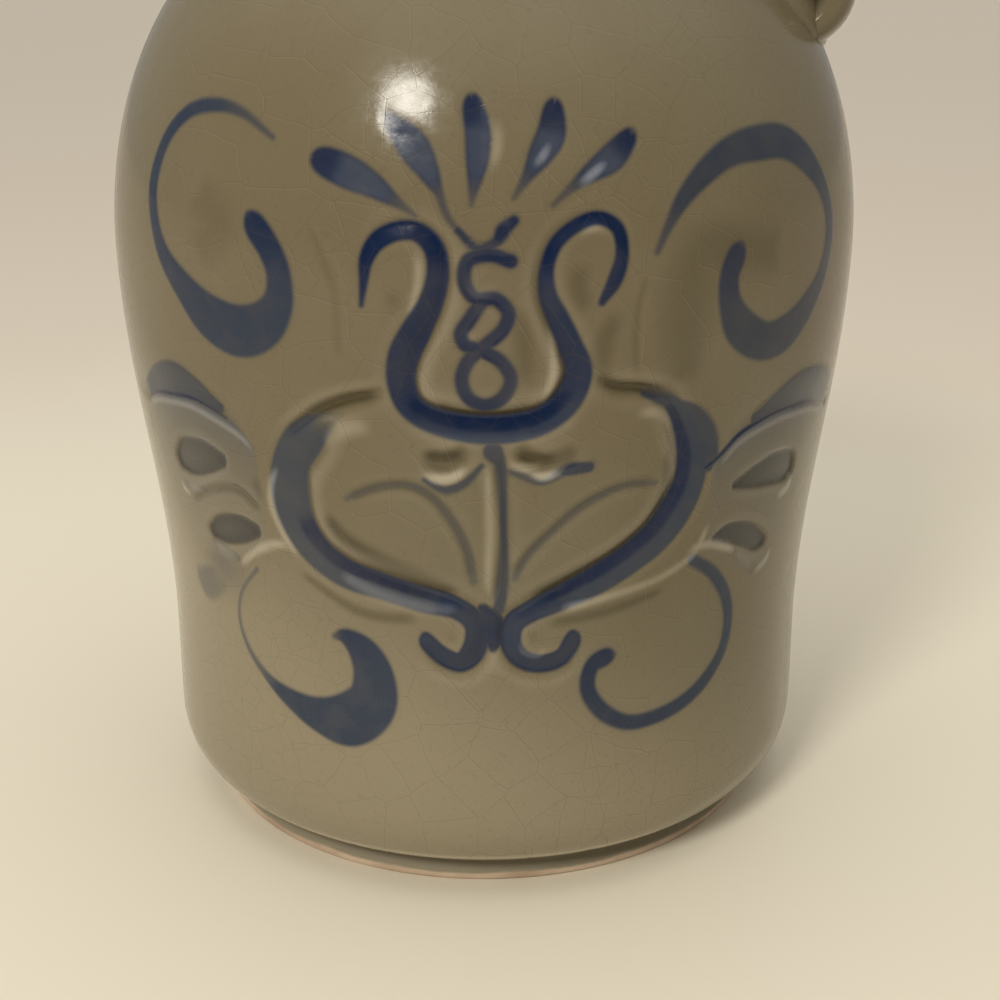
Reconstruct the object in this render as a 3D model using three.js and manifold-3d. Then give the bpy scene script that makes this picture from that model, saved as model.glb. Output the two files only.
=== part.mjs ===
// Stoneware jug vase with a carved tulip painted in cobalt slip, in millimetres with +Z up.
// The foot rests on z = 0, the jug is turned about the Z axis, the tulip faces -Y
// and the strap handle stands on the shoulder towards +X.
import * as THREE from 'three';
import { mergeVertices } from 'three/addons/utils/BufferGeometryUtils.js';
import Module from 'manifold-3d';

const wasm = await Module();
wasm.setup();

// Turned body, with heights measured from the table
const WIDEST_RADIUS = 76;
const WIDEST_HEIGHT = 120;
const WAIST_RADIUS = 69.4;
const WAIST_HEIGHT = 40;
const HEEL_RADIUS = 69.6;
const HEEL_HEIGHT = 20;
const HEEL_CURVE = 3;
const EDGE_RADIUS = 64.5;
const SHOULDER_RADIUS = 26;
const SHOULDER_HEIGHT = 188;
const WALL_THICKNESS = 6;
const FLOOR_THICKNESS = 7;
const FLOOR_CORNER = 12;

// Foot ring of bare clay, with a groove round it under the body's edge
const FOOT_HEIGHT = 6.8;
const FOOT_RADIUS = 62;
const FOOT_WIDTH = 9;
const FOOT_BAND = 1.9;
const FOOT_GROOVE = 2.3;
const FOOT_BEVEL = 0.8;

// Neck and rolled lip, standing on a flat seat on the shoulder
const NECK_SEAT_RADIUS = 33;
const NECK_HEIGHT = 28.5;
const NECK_RADIUS = 24;
const NECK_FLARE = 9;
const NECK_BORE = 18;
const LIP_RADIUS = 29;
const LIP_ROUND = 4.5;
const LIP_EASE = 3;

// Strap handle, with heights measured from the neck's seat
const HANDLE_TURN = THREE.MathUtils.degToRad(10);
const STRAP_WIDTH = 25;
const STRAP_THICKNESS = 8.5;
const STRAP_SQUARENESS = 0.6;
const STRAP_REACH = 68.4;
const STRAP_RISE = 19;
const LOWER_JOINT_DROP = 19.8;
const LOWER_PAD_SIZE = [11, 19, 5];
const UPPER_JOINT_RISE = 13.5;
const UPPER_PAD_SIZE = [8, 15, 4.5];

// Slip laid in carved channels, drawn on a grid of squares that grows with the belly
const PATTERN_STEPS = 76;
const TULIP_HEIGHT = 98;
const SLIP_THICKNESS = 1.2;
const WINDOW_DEPTH = 3.4;
const CHANNEL_LIFT = 1.5;

// Fit between pieces, and how finely round forms and bands are divided
const FIT = 0.3;
const BODY_STEPS = 56;
const NECK_STEPS = 36;
const STRAP_STEPS = 18;
const BAND_STEP = 5;

// Fired surfaces
const glaze = new THREE.MeshStandardMaterial({ color: 0x867d63, roughness: 0.22, metalness: 0 });
const bareClay = new THREE.MeshStandardMaterial({ color: 0xb58f78, roughness: 0.85, metalness: 0 });
const brushedBlue = new THREE.MeshStandardMaterial({ color: 0x3f4a5c, roughness: 0.25, metalness: 0 });
const deepBlue = new THREE.MeshStandardMaterial({ color: 0x2b3763, roughness: 0.22, metalness: 0 });
const paleBlue = new THREE.MeshStandardMaterial({ color: 0x858a84, roughness: 0.22, metalness: 0 });

// Numbers and points
function ease(t) {
  return (1 - Math.cos(Math.PI * t)) / 2;
}

function steps(from, to, count) {
  return Array.from({ length: count }, (_, i) => THREE.MathUtils.lerp(from, to, (i + 1) / count));
}

function point(radius, height) {
  return new THREE.Vector2(radius, height);
}

// Outer radius of the body at a height: rounded heel, slight waist, full belly, domed shoulder
function bodyRadius(z) {
  if (z < HEEL_HEIGHT) {
    const drop = (HEEL_HEIGHT - z) / (HEEL_HEIGHT - FOOT_HEIGHT);
    return HEEL_RADIUS - (HEEL_RADIUS - EDGE_RADIUS) * drop ** HEEL_CURVE;
  }
  if (z < WAIST_HEIGHT) {
    const rise = (z - HEEL_HEIGHT) / (WAIST_HEIGHT - HEEL_HEIGHT);
    return THREE.MathUtils.lerp(HEEL_RADIUS, WAIST_RADIUS, ease(rise));
  }
  if (z < WIDEST_HEIGHT) {
    const rise = (z - WAIST_HEIGHT) / (WIDEST_HEIGHT - WAIST_HEIGHT);
    return THREE.MathUtils.lerp(WAIST_RADIUS, WIDEST_RADIUS, ease(rise));
  }
  const rise = Math.min((z - WIDEST_HEIGHT) / (SHOULDER_HEIGHT - WIDEST_HEIGHT), 1);
  return shoulderPoint(Math.asin(rise), 0).x;
}

// Point of the domed shoulder, a quarter of an ellipse grown outwards by a margin
function shoulderPoint(angle, margin) {
  const radius = SHOULDER_RADIUS + (WIDEST_RADIUS - SHOULDER_RADIUS + margin) * Math.cos(angle);
  const height = WIDEST_HEIGHT + (SHOULDER_HEIGHT - WIDEST_HEIGHT + margin) * Math.sin(angle);
  return point(radius, height);
}

// Closed solids
function solid(geometry) {
  const bare = geometry.clone();
  bare.deleteAttribute('normal');
  bare.deleteAttribute('uv');
  const merged = mergeVertices(bare, 1e-4);
  const corners = [];
  for (let i = 0; i < merged.index.count; i += 3) {
    const [a, b, c] = [0, 1, 2].map((k) => merged.index.getX(i + k));
    if (a !== b && b !== c && c !== a) corners.push(a, b, c);
  }
  const vertProperties = new Float32Array(merged.attributes.position.array);
  const triVerts = new Uint32Array(corners);
  return new wasm.Manifold(new wasm.Mesh({ numProp: 3, vertProperties, triVerts }));
}

function turned(profile, divisions) {
  return solid(new THREE.LatheGeometry(profile, divisions).rotateX(Math.PI / 2));
}

// Skin through rings of equal point count, closed at both ends
function loft(rings) {
  const count = rings[0].length;
  const positions = rings.flat().flatMap((p) => p.toArray());
  const corners = [];
  const quad = (a, b, c, d) => corners.push(a, b, c, a, c, d);
  for (let i = 0; i < rings.length - 1; i += 1) {
    for (let k = 0; k < count; k += 1) {
      const next = (k + 1) % count;
      quad(i * count + k, i * count + next, (i + 1) * count + next, (i + 1) * count + k);
    }
  }
  const last = (rings.length - 1) * count;
  for (let k = 0; k < count / 2 - 1; k += 1) {
    quad(count - 1 - k, count - 2 - k, k + 1, k);
    quad(last + k, last + k + 1, last + count - 2 - k, last + count - 1 - k);
  }
  const geometry = new THREE.BufferGeometry();
  geometry.setAttribute('position', new THREE.Float32BufferAttribute(positions, 3));
  geometry.setIndex(corners);
  return solid(geometry);
}

function largest(shape) {
  return shape.decompose().reduce((a, b) => (a.volume() > b.volume() ? a : b));
}

function piece(name, shape, material) {
  const { vertProperties, triVerts } = shape.getMesh();
  const geometry = new THREE.BufferGeometry();
  geometry.setAttribute('position', new THREE.BufferAttribute(vertProperties, 3));
  geometry.setIndex(new THREE.BufferAttribute(triVerts, 1));
  geometry.computeVertexNormals();
  const mesh = new THREE.Mesh(geometry, material);
  mesh.name = name;
  return mesh;
}

// Body: one thrown wall with its floor, open at the neck's seat
const seatAngle = Math.acos((NECK_SEAT_RADIUS - SHOULDER_RADIUS) / (WIDEST_RADIUS - SHOULDER_RADIUS));
const seatHeight = shoulderPoint(seatAngle, 0).y;
const ceilingHeight = SHOULDER_HEIGHT - WALL_THICKNESS;
const floorHeight = FOOT_HEIGHT + FLOOR_THICKNESS;
const cornerRadius = bodyRadius(floorHeight + FLOOR_CORNER) - WALL_THICKNESS - FLOOR_CORNER;
const wallHeights = [
  FOOT_HEIGHT,
  ...steps(FOOT_HEIGHT, HEEL_HEIGHT, 3),
  WAIST_HEIGHT,
  ...steps(WAIST_HEIGHT, WIDEST_HEIGHT, 5),
];
const thrownWall = turned([
  point(0, FOOT_HEIGHT),
  ...wallHeights.map((z) => point(bodyRadius(z), z)),
  ...steps(0, seatAngle, 8).map((angle) => shoulderPoint(angle, 0)),
  point(NECK_BORE, seatHeight),
  point(NECK_BORE, ceilingHeight),
  point(SHOULDER_RADIUS, ceilingHeight),
  ...steps(Math.PI / 2, 0, 5).map((angle) => shoulderPoint(angle, -WALL_THICKNESS)),
  ...steps(WIDEST_HEIGHT, floorHeight + FLOOR_CORNER, 2)
    .map((z) => point(bodyRadius(z) - WALL_THICKNESS, z)),
  ...steps(0, Math.PI / 2, 3).map((angle) => point(
    cornerRadius + FLOOR_CORNER * Math.cos(angle),
    floorHeight + FLOOR_CORNER * (1 - Math.sin(angle)),
  )),
  point(0, floorHeight),
], BODY_STEPS);

// The same body filled in and grown by the fit, for cutting what is luted onto it
const wallRoom = turned([
  point(0, FOOT_HEIGHT),
  ...wallHeights.map((z) => point(bodyRadius(z) + FIT, z)),
  ...steps(0, Math.PI / 2, 10).map((angle) => shoulderPoint(angle, FIT)),
  point(0, SHOULDER_HEIGHT + FIT),
], BODY_STEPS);

// Foot ring: bevelled edge, narrow band and a hollow groove above it
const footInner = FOOT_RADIUS - FOOT_WIDTH;
const foot = turned([
  point(footInner + FOOT_BEVEL, 0),
  point(FOOT_RADIUS - FOOT_BEVEL, 0),
  point(FOOT_RADIUS, FOOT_BEVEL),
  point(FOOT_RADIUS, FOOT_BAND),
  ...steps(0, Math.PI, 4).map((angle) => point(
    FOOT_RADIUS - FOOT_GROOVE * Math.sin(angle),
    THREE.MathUtils.lerp(FOOT_BAND, FOOT_HEIGHT, angle / Math.PI),
  )),
  point(footInner, FOOT_HEIGHT),
  point(footInner, FOOT_BEVEL),
  point(footInner + FOOT_BEVEL, 0),
], BODY_STEPS);

// Neck: flares onto its seat and rolls out into a rounded lip
function neckOutside(margin) {
  const flare = NECK_SEAT_RADIUS - NECK_RADIUS;
  return [
    point(NECK_SEAT_RADIUS + margin, 0),
    ...steps(0, Math.PI / 2, 4).map((angle) => point(
      NECK_RADIUS + flare * (1 - Math.sin(angle)) + margin,
      NECK_FLARE * (1 - Math.cos(angle)),
    )),
    point(NECK_RADIUS + margin, NECK_HEIGHT - 2 * LIP_ROUND - margin),
    ...steps(-Math.PI / 2, Math.PI / 2, 5).map((angle) => point(
      LIP_RADIUS - LIP_ROUND + (LIP_ROUND + margin) * Math.cos(angle),
      NECK_HEIGHT - LIP_ROUND + (LIP_ROUND + margin) * Math.sin(angle),
    )),
  ];
}
const neck = turned([
  point(NECK_BORE, 0),
  ...neckOutside(0),
  point(NECK_BORE + LIP_EASE, NECK_HEIGHT),
  point(NECK_BORE, NECK_HEIGHT - LIP_EASE),
  point(NECK_BORE, 0),
], NECK_STEPS);
const neckRoom = turned([
  point(0, 0),
  ...neckOutside(FIT),
  point(0, NECK_HEIGHT + FIT),
], NECK_STEPS).translate([0, 0, seatHeight]);

// Handle, modelled in the XZ plane: a bent strap with a pad of clay pressed round each end
const lowerHeight = seatHeight - LOWER_JOINT_DROP;
const lowerJoint = new THREE.Vector3(bodyRadius(lowerHeight), 0, lowerHeight);
const upperJoint = new THREE.Vector3(NECK_RADIUS, 0, seatHeight + UPPER_JOINT_RISE);
const strapTop = seatHeight + STRAP_RISE;
const strapSpan = strapTop - lowerHeight;
const strapLine = new THREE.CatmullRomCurve3([
  new THREE.Vector3(lowerJoint.x - 0.41 * STRAP_THICKNESS, 0, lowerHeight - 0.88 * STRAP_THICKNESS),
  new THREE.Vector3(lowerJoint.x + 0.35 * STRAP_THICKNESS, 0, lowerHeight - 0.65 * STRAP_THICKNESS),
  new THREE.Vector3(STRAP_REACH, 0, lowerHeight - 0.12 * STRAP_THICKNESS),
  new THREE.Vector3(STRAP_REACH - 0.35 * STRAP_THICKNESS, 0, lowerHeight + 0.4 * strapSpan),
  new THREE.Vector3(STRAP_REACH - 1.3 * STRAP_THICKNESS, 0, lowerHeight + 0.84 * strapSpan),
  new THREE.Vector3((STRAP_REACH + NECK_RADIUS) / 2, 0, strapTop),
  new THREE.Vector3(NECK_RADIUS + 0.94 * STRAP_THICKNESS, 0, upperJoint.z + 0.35 * STRAP_THICKNESS),
  new THREE.Vector3(NECK_RADIUS - 0.24 * STRAP_THICKNESS, 0, upperJoint.z - 0.35 * STRAP_THICKNESS),
]);

// Section of the strap: a rounded oblong across the handle's plane
function strapRing(share) {
  const centre = strapLine.getPointAt(share);
  const across = new THREE.Vector3(0, 1, 0);
  const face = new THREE.Vector3().crossVectors(strapLine.getTangentAt(share), across);
  const rounded = (value) => Math.sign(value) * Math.abs(value) ** STRAP_SQUARENESS;
  return Array.from({ length: 12 }, (_, k) => {
    const angle = (k + 0.5) * (Math.PI / 6);
    return centre.clone()
      .addScaledVector(across, rounded(Math.cos(angle)) * (STRAP_WIDTH / 2))
      .addScaledVector(face, rounded(Math.sin(angle)) * (STRAP_THICKNESS / 2));
  });
}

// A lens of clay lying on a surface, with its half sizes along, across and through
function pad(centre, slope, [along, across, through], margin) {
  const lens = new THREE.SphereGeometry(1, 16, 10).scale(along + margin, across + margin, through + margin);
  return solid(lens.rotateY(-slope).translate(centre.x, centre.y, centre.z));
}

const jointAngle = Math.asin((lowerHeight - WIDEST_HEIGHT) / (SHOULDER_HEIGHT - WIDEST_HEIGHT));
const shoulderSlope = shoulderPoint(jointAngle + 0.01, 0).sub(shoulderPoint(jointAngle - 0.01, 0)).angle();
const lowerPad = (margin) => pad(lowerJoint, shoulderSlope, LOWER_PAD_SIZE, margin);
const upperPad = (margin) => pad(upperJoint, Math.PI / 2, UPPER_PAD_SIZE, margin);
const strap = largest(loft([0, ...steps(0, 1, STRAP_STEPS)].map(strapRing))
  .subtract(wallRoom)
  .subtract(neckRoom)
  .subtract(lowerPad(FIT))
  .subtract(upperPad(FIT)));

// Ornament: places on the wall are given round the girth from the tulip's middle and up from its base
const patternSquare = WIDEST_RADIUS / PATTERN_STEPS;

function onWall(girth, rise, depth) {
  const angle = girth / WIDEST_RADIUS;
  const height = TULIP_HEIGHT + rise;
  const radius = bodyRadius(height) - depth;
  return new THREE.Vector3(radius * Math.sin(angle), -radius * Math.cos(angle), height);
}

// Sample a smooth line through stations in pattern squares, telling each sample its end: -1, 0 or 1
function along(stations, makeEdges) {
  const places = stations.map((station) => new THREE.Vector3(...station).multiplyScalar(patternSquare));
  const line = new THREE.CatmullRomCurve3(places);
  const count = Math.max(4, Math.ceil(line.getLength() / BAND_STEP));
  return steps(-1 / count, 1, count + 1).map((part, i) => {
    const share = THREE.MathUtils.clamp(part, 0, 1);
    const end = Number(i === count) - Number(i === 0);
    return makeEdges(line.getPointAt(share), line.getTangentAt(share), end);
  });
}

// Left and right edges of a brush stroke with stations of [girth, rise, width]
function strokeEdges(stations, spread) {
  return along(stations, (place, tangent, end) => {
    const forward = new THREE.Vector2(tangent.x, tangent.y).normalize();
    const left = new THREE.Vector2(-forward.y, forward.x);
    const middle = new THREE.Vector2(place.x, place.y).addScaledVector(forward, end * spread);
    const reach = place.z / 2 + spread;
    return [middle.clone().addScaledVector(left, reach), middle.clone().addScaledVector(left, -reach)];
  });
}

// Upper and lower edges of a panel with stations of [girth, upper rise, lower rise]
function panelEdges(stations, spread) {
  return along(stations, (place, tangent, end) => {
    const girth = place.x + end * spread;
    return [point(girth, place.y + spread), point(girth, place.z - spread)];
  });
}

// A band between two edges, from a top to a bottom depth below the wall at each edge
function band(edges, top, bottom, across = 1) {
  const shares = Array.from({ length: across + 1 }, (_, k) => k / across);
  return loft(edges.map(([left, right]) => {
    const row = (depths) => shares.map((share) => {
      const place = left.clone().lerp(right, share);
      return onWall(place.x, place.y, THREE.MathUtils.lerp(depths[0], depths[1], share));
    });
    return [...row(top), ...row(bottom).reverse()];
  }));
}

const ornament = new THREE.Group();
const channels = [];
const ABOVE_WALL = [-CHANNEL_LIFT, -CHANNEL_LIFT];

// Slip set in its own channel, its face sunk by a depth at the left and the right edge
function slip(stations, depths, edges = strokeEdges, across = 1) {
  const under = depths.map((depth) => depth + SLIP_THICKNESS);
  const floor = under.map((depth) => depth + FIT);
  channels.push(band(edges(stations, FIT), ABOVE_WALL, floor, across));
  return band(edges(stations, 0), depths, under, across);
}

function inlay(name, shape, material) {
  ornament.add(piece(name, shape, material));
}

function hollow(stations, depth, spread = 0) {
  return band(strokeEdges(stations, spread), ABOVE_WALL, [depth, depth]);
}

const BRUSHED = [0, 0];
const SCOOPED = [0.7, 0.7];
const CUT_LEFT = [1.5, 0.5];
const CUT_RIGHT = [0.5, 1.5];

// Brushed scrolls round the tulip
inlay('scroll_upper_left', slip([
  [-38.5, 47.5, 0.9], [-46, 51, 1.7], [-53, 52, 2.4], [-61, 50.5, 2.8], [-67, 45.5, 3], [-70, 37, 3.4],
  [-68.5, 30.5, 3.4], [-65.5, 25.5, 4.3], [-59.5, 20.5, 6.2], [-53, 16.2, 8.8], [-46, 14.5, 9.6],
  [-40, 16.3, 8.2], [-36.5, 20.5, 6.1], [-36.2, 25.5, 5.1], [-38, 29.5, 5], [-41, 33, 4.8],
  [-42.2, 34.4, 2.4],
], BRUSHED), brushedBlue);
inlay('scroll_upper_right', slip([
  [29.5, 29.5, 1.2], [32, 34, 2], [35, 38, 3.2], [40, 42, 4.4], [46, 44.8, 5.1], [53, 45.7, 6],
  [60.5, 45.4, 6.1],
  [67, 42.4, 5.7], [72.5, 37.4, 4.4], [75.5, 32, 3.9], [75.5, 26, 3.9], [72.5, 20, 4.4], [67, 15, 6.1],
  [61, 11.8, 7.4], [54.5, 11.2, 7.3], [48, 14.6, 7.2], [45, 19.4, 5.2], [44.5, 24, 4.6], [46, 27.4, 4.4],
  [47, 28.8, 2.2],
], BRUSHED), brushedBlue);
inlay('scroll_lower_left', slip([
  [-49.5, -32.5, 0.9], [-55.5, -39, 0.9], [-57.3, -45, 1], [-55.5, -50.5, 1.4], [-50.5, -55.3, 2],
  [-44.5, -58.4, 4.2], [-36.2, -60.6, 7.8], [-29.2, -60.2, 11.2], [-24, -56, 10.7], [-23.2, -50.3, 9.1],
  [-25, -45.5, 7], [-29, -42.6, 3.3], [-31.5, -43, 1.2],
], BRUSHED), brushedBlue);
inlay('scroll_lower_right', slip([
  [43, -29.5, 2.4], [49, -33.5, 2.8], [54, -39.5, 3.1], [56, -45.5, 3.1], [55, -51.5, 3.1],
  [50.3, -56.5, 3.3],
  [44.2, -59.7, 3.3], [36.6, -61.3, 3.3], [29.6, -61, 3.4], [23.8, -57.4, 3.6], [20.8, -52.4, 3.5],
  [21.7, -47.8, 3.6], [24.2, -46.5, 4], [25.6, -46.3, 2.2],
], BRUSHED), brushedBlue);

// Tulip: scooped petals over a cup with curled tips, and a twisted stamen inside
inlay('petal_far_left', slip([
  [-29.6, 44.6, 2], [-28, 44.2, 4.6], [-23.5, 42.7, 5.4], [-19, 40.8, 4.1], [-14.5, 38.1, 1.8],
  [-11.5, 36.2, 0.8],
], SCOOPED), deepBlue);
inlay('petal_left', slip([
  [-17, 51.6, 1.6], [-15.8, 50.3, 3], [-12, 46.8, 5.3], [-9.5, 43.3, 3.7], [-7.5, 39.5, 1.6],
  [-6.2, 36.2, 1.3],
  [-4, 33.4, 1],
], SCOOPED), deepBlue);
inlay('petal_middle', slip([
  [-2.2, 54.4, 1.6], [-2, 53, 3.7], [-1.2, 49.3, 4.5], [-1.2, 45.4, 4], [-1.7, 41.5, 2.3], [-2.2, 38, 0.8],
], SCOOPED), deepBlue);
inlay('petal_right', slip([
  [12.3, 53.6, 1.6], [12, 52.2, 3.8], [11.4, 48.8, 5], [9.5, 45.8, 4.2], [7.3, 42.6, 2.1], [4.8, 39, 0.8],
], SCOOPED), deepBlue);
inlay('petal_far_right', slip([
  [26, 48.8, 1.4], [25, 47.7, 3.3], [22, 45, 4.6], [18.2, 42.8, 3.2], [14.5, 40.4, 1.6], [11.3, 37.8, 0.8],
], SCOOPED), deepBlue);
inlay('stamen_tip', slip([[4.8, 35.5, 1], [3, 34, 1.6], [2.2, 32.8, 1]], SCOOPED), deepBlue);
inlay('tulip_cup', slip([
  [-20.8, 21.3, 0.9], [-20.3, 25.2, 1.7], [-19.8, 29, 2.7], [-17.9, 32, 3.3], [-14.3, 33.7, 3.3],
  [-11, 33.5, 3.3],
  [-8.4, 31, 3.6], [-7.8, 27, 3.8], [-9, 22.3, 4.1], [-11.5, 17.5, 5], [-13.8, 13, 5.4], [-14.5, 8.6, 5],
  [-13.3, 4.5, 4.7], [-9.7, 1.8, 4.7], [0, 0, 5.2], [9.6, 1.4, 5.1], [14.4, 5.3, 5.1], [16, 10.2, 4.7],
  [14.4, 14.6, 4.2], [12.3, 19.1, 3.8], [10.4, 23.4, 3.1], [10.2, 27.7, 2.5], [11.7, 31.6, 2.4],
  [15.1, 34.4, 2.4],
  [19.1, 35.5, 2.4], [22.3, 33.8, 2.5], [23.1, 29.6, 2.6], [21.9, 25.5, 2.8], [19.6, 21.8, 1.4],
], CUT_LEFT), deepBlue);
const stamenDown = slip([
  [4.2, 29, 1.7], [0.8, 30, 1.7], [-2.8, 29, 1.7], [-3.4, 25.7, 1.7], [-1.6, 23, 1.7], [1.8, 22.8, 1.7],
  [3.8, 20.5, 1.7], [3, 17.8, 1.7], [0, 15, 1.7], [-2.8, 12.4, 1.7], [-4, 9, 1.7], [-2.8, 5.8, 1.7],
  [0.2, 4.6, 1.7],
], SCOOPED);
const stamenUp = slip([
  [-0.2, 4.6, 1.7], [2.8, 5.8, 1.7], [4.3, 9, 1.7], [2.8, 12, 1.7], [-0.3, 14, 1.7], [-3.4, 15.2, 1.7],
  [-4, 17, 1.7], [-2.6, 19.3, 1.7], [-0.6, 22.4, 1.7],
], SCOOPED);
inlay('stamen_twist', stamenDown.add(stamenUp), deepBlue);

// Heart of two scrolls under the tulip, with its stem, sepals and leaf ribs
inlay('heart_left', slip([
  [-26, 1.5, 1], [-29, 0, 3.4], [-34, -4, 7], [-37.4, -8.8, 7.2], [-38.7, -14.5, 8], [-37.8, -20.7, 7.4],
  [-34.2, -26, 6.4], [-28.3, -29.6, 5.8], [-21, -31.4, 5.2], [-13, -33.3, 4.6], [-5.6, -35, 3.4],
  [-2.2, -38, 3.6],
  [-2.2, -42.8, 4.2], [-5, -46, 3.6], [-8.8, -44.8, 3.4], [-11.6, -42, 2.8], [-11.9, -40.9, 1.4],
], CUT_LEFT), deepBlue);
inlay('heart_right', slip([
  [28, 5.7, 1.2], [33.7, 3, 2.8], [37, -1, 4.2], [40, -7.5, 6.2], [40.2, -13.2, 6.8], [38, -18.4, 7.4],
  [34.3, -23, 6.9], [29, -26.7, 6.3], [22, -30.4, 5.8], [14.4, -33.5, 4.6], [8.6, -35.8, 3.4],
  [5.4, -38.1, 3.4],
  [4.9, -42.3, 3.5], [7.2, -45.5, 3.3], [11.6, -46.6, 3.3], [15.5, -45.4, 3.3], [17.2, -42.3, 3],
  [17.2, -41, 1.4],
], CUT_RIGHT), deepBlue);
inlay('stem', slip([
  [1.2, -5, 1.6], [1.8, -9, 2], [2.6, -19.5, 2.3], [1.6, -32.5, 2.2],
], SCOOPED), paleBlue);
inlay('sepal_left', slip([
  [-11.8, -8, 1], [-10, -8.6, 2], [-7, -9.2, 2.8], [-3, -7, 2], [-1, -5, 0.9],
], SCOOPED), paleBlue);
inlay('sepal_right', slip([
  [3.6, -5.2, 0.9], [6.4, -7.4, 2.1], [10.4, -8.8, 2.4], [14.4, -8, 2.1], [17.8, -7.3, 1.4],
], SCOOPED), paleBlue);
inlay('leaf_rib_left', slip([
  [-26, -14.2, 0.9], [-20, -11.5, 1.2], [-14.4, -10.6, 1.2], [-10.3, -12.2, 1.4], [-6.3, -17, 1.6],
  [-3.5, -23, 1.6],
  [-2.4, -29, 1.4],
], SCOOPED), brushedBlue);
inlay('leaf_rib_right', slip([
  [32, -12, 0.9], [25.7, -11.8, 1.1], [18.3, -14.7, 1.4], [12.5, -19.4, 1.4], [8, -24, 1.4],
  [5.4, -28.5, 1.3],
], SCOOPED), brushedBlue);

// Seed pods at the sides: sunk under their upper edge and pierced by two windows each
const POD_CUT = [1.6, 0.4];
const leftWindows = [
  [[-72, -15.5, 3], [-67, -13.5, 8], [-60, -12, 7.5], [-54, -11.8, 2.5]],
  [[-64.3, -28.2, 2], [-59, -26, 6], [-52, -24.7, 6], [-47.3, -24.4, 2.2]],
];
const rightWindows = [
  [[52, -16.2, 1.5], [58, -15.7, 5], [64, -15.6, 7], [70, -16.5, 6.5], [72.4, -17.5, 3]],
  [[48.3, -26.4, 1.2], [52, -26, 4], [58, -27.7, 5.2], [63, -30.3, 4.6], [65.6, -31.2, 2.5]],
];
const leftPod = slip([
  [-82, -4.6, -10], [-76, -2.5, -24.5], [-70, -1.5, -32.5], [-62, -0.8, -32.7], [-54, -2.2, -30.7],
  [-49, -3.8, -29], [-45.3, -7, -25],
], POD_CUT, panelEdges, 2);
const rightPod = slip([
  [45.3, -10.5, -27.5], [51, -6.2, -31.5], [58, -4.4, -35.5], [64, -3.8, -37.2], [69, -4, -34.5],
  [75, -4.5, -23], [82, -6, -18], [88, -7.7, -12],
], POD_CUT, panelEdges, 2);

function pierced(pod, windows) {
  windows.forEach((window) => channels.push(hollow(window, WINDOW_DEPTH)));
  return windows.reduce((shape, window) => shape.subtract(hollow(window, WINDOW_DEPTH, FIT)), pod);
}
inlay('pod_left', pierced(leftPod, leftWindows), paleBlue);
inlay('pod_right', pierced(rightPod, rightWindows), paleBlue);
inlay('pod_cap_left', slip([
  [-82, -2.4, 2.4], [-74, 1.1, 4.6], [-66, 2.7, 6], [-60, 2.1, 4.2], [-53.5, -0.5, 1.8],
], BRUSHED), brushedBlue);
inlay('pod_cap_right', slip([
  [55.5, -3.1, 1.6], [62, -1, 3.8], [68.5, 0, 6.2], [76, -0.6, 6.4], [82, -2, 5.8], [88, -4.4, 3.5],
], BRUSHED), brushedBlue);
inlay('pod_tip_left', slip([
  [-74, -37.5, 2], [-70, -40, 7], [-64, -38, 6], [-57, -35.2, 2.5],
], BRUSHED), brushedBlue);

// The jug, with the handle turned a little towards the tulip
const handle = new THREE.Group();
handle.rotation.z = -HANDLE_TURN;
handle.add(piece('handle_strap', strap, glaze));
handle.add(piece('handle_lower_pad', lowerPad(0).subtract(wallRoom), glaze));
handle.add(piece('handle_upper_pad', upperPad(0).subtract(neckRoom), glaze));

const neckPiece = piece('neck_and_lip', neck, glaze);
neckPiece.position.z = seatHeight;

const jug = new THREE.Group();
jug.name = 'jug_vase';
jug.add(piece('body_wall', thrownWall.subtract(wasm.Manifold.union(channels)), glaze));
jug.add(piece('foot_ring', foot, bareClay), neckPiece, handle, ornament);

export default jug;
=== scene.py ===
"""Stoneware jug vase with a carved tulip in cobalt slip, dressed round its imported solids.

Lengths in the ornament are millimetres on the wall, and every mesh is made in metres.
"""

import math

import bpy
import numpy as np
from bpy.props import FloatProperty, FloatVectorProperty, PointerProperty
from bpy.types import Operator, Panel, PropertyGroup
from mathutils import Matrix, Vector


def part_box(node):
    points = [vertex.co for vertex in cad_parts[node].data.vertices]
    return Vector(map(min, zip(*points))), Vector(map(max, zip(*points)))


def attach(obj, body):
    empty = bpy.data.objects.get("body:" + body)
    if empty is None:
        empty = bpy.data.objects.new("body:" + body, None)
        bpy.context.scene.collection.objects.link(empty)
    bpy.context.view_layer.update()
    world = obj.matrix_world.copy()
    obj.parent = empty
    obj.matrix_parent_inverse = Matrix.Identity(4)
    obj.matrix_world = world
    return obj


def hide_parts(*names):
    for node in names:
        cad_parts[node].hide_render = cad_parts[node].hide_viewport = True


bl_info = {
    "name": "Stoneware jug vase",
    "version": (1, 0, 0),
    "blender": (4, 5, 0),
    "location": "3D View > Sidebar > Jug vase",
    "description": "A thrown jug with a carved tulip, heart and scrolls in cobalt slip under a crackle glaze",
    "category": "Add Mesh",
}

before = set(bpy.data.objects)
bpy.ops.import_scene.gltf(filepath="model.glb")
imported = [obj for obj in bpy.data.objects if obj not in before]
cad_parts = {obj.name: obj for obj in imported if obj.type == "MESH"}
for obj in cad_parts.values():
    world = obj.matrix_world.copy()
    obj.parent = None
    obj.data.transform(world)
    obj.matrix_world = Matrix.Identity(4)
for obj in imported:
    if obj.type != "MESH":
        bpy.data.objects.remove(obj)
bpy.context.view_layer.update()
body_low, body_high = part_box("body_wall")
foot_low, foot_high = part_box("foot_ring")
neck_low, neck_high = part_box("neck_and_lip")

MM = 0.001
BODY = "root"


def length(name, description, default):
    return FloatProperty(name=name, description=description, default=default, min=0.0, unit="LENGTH")


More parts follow.
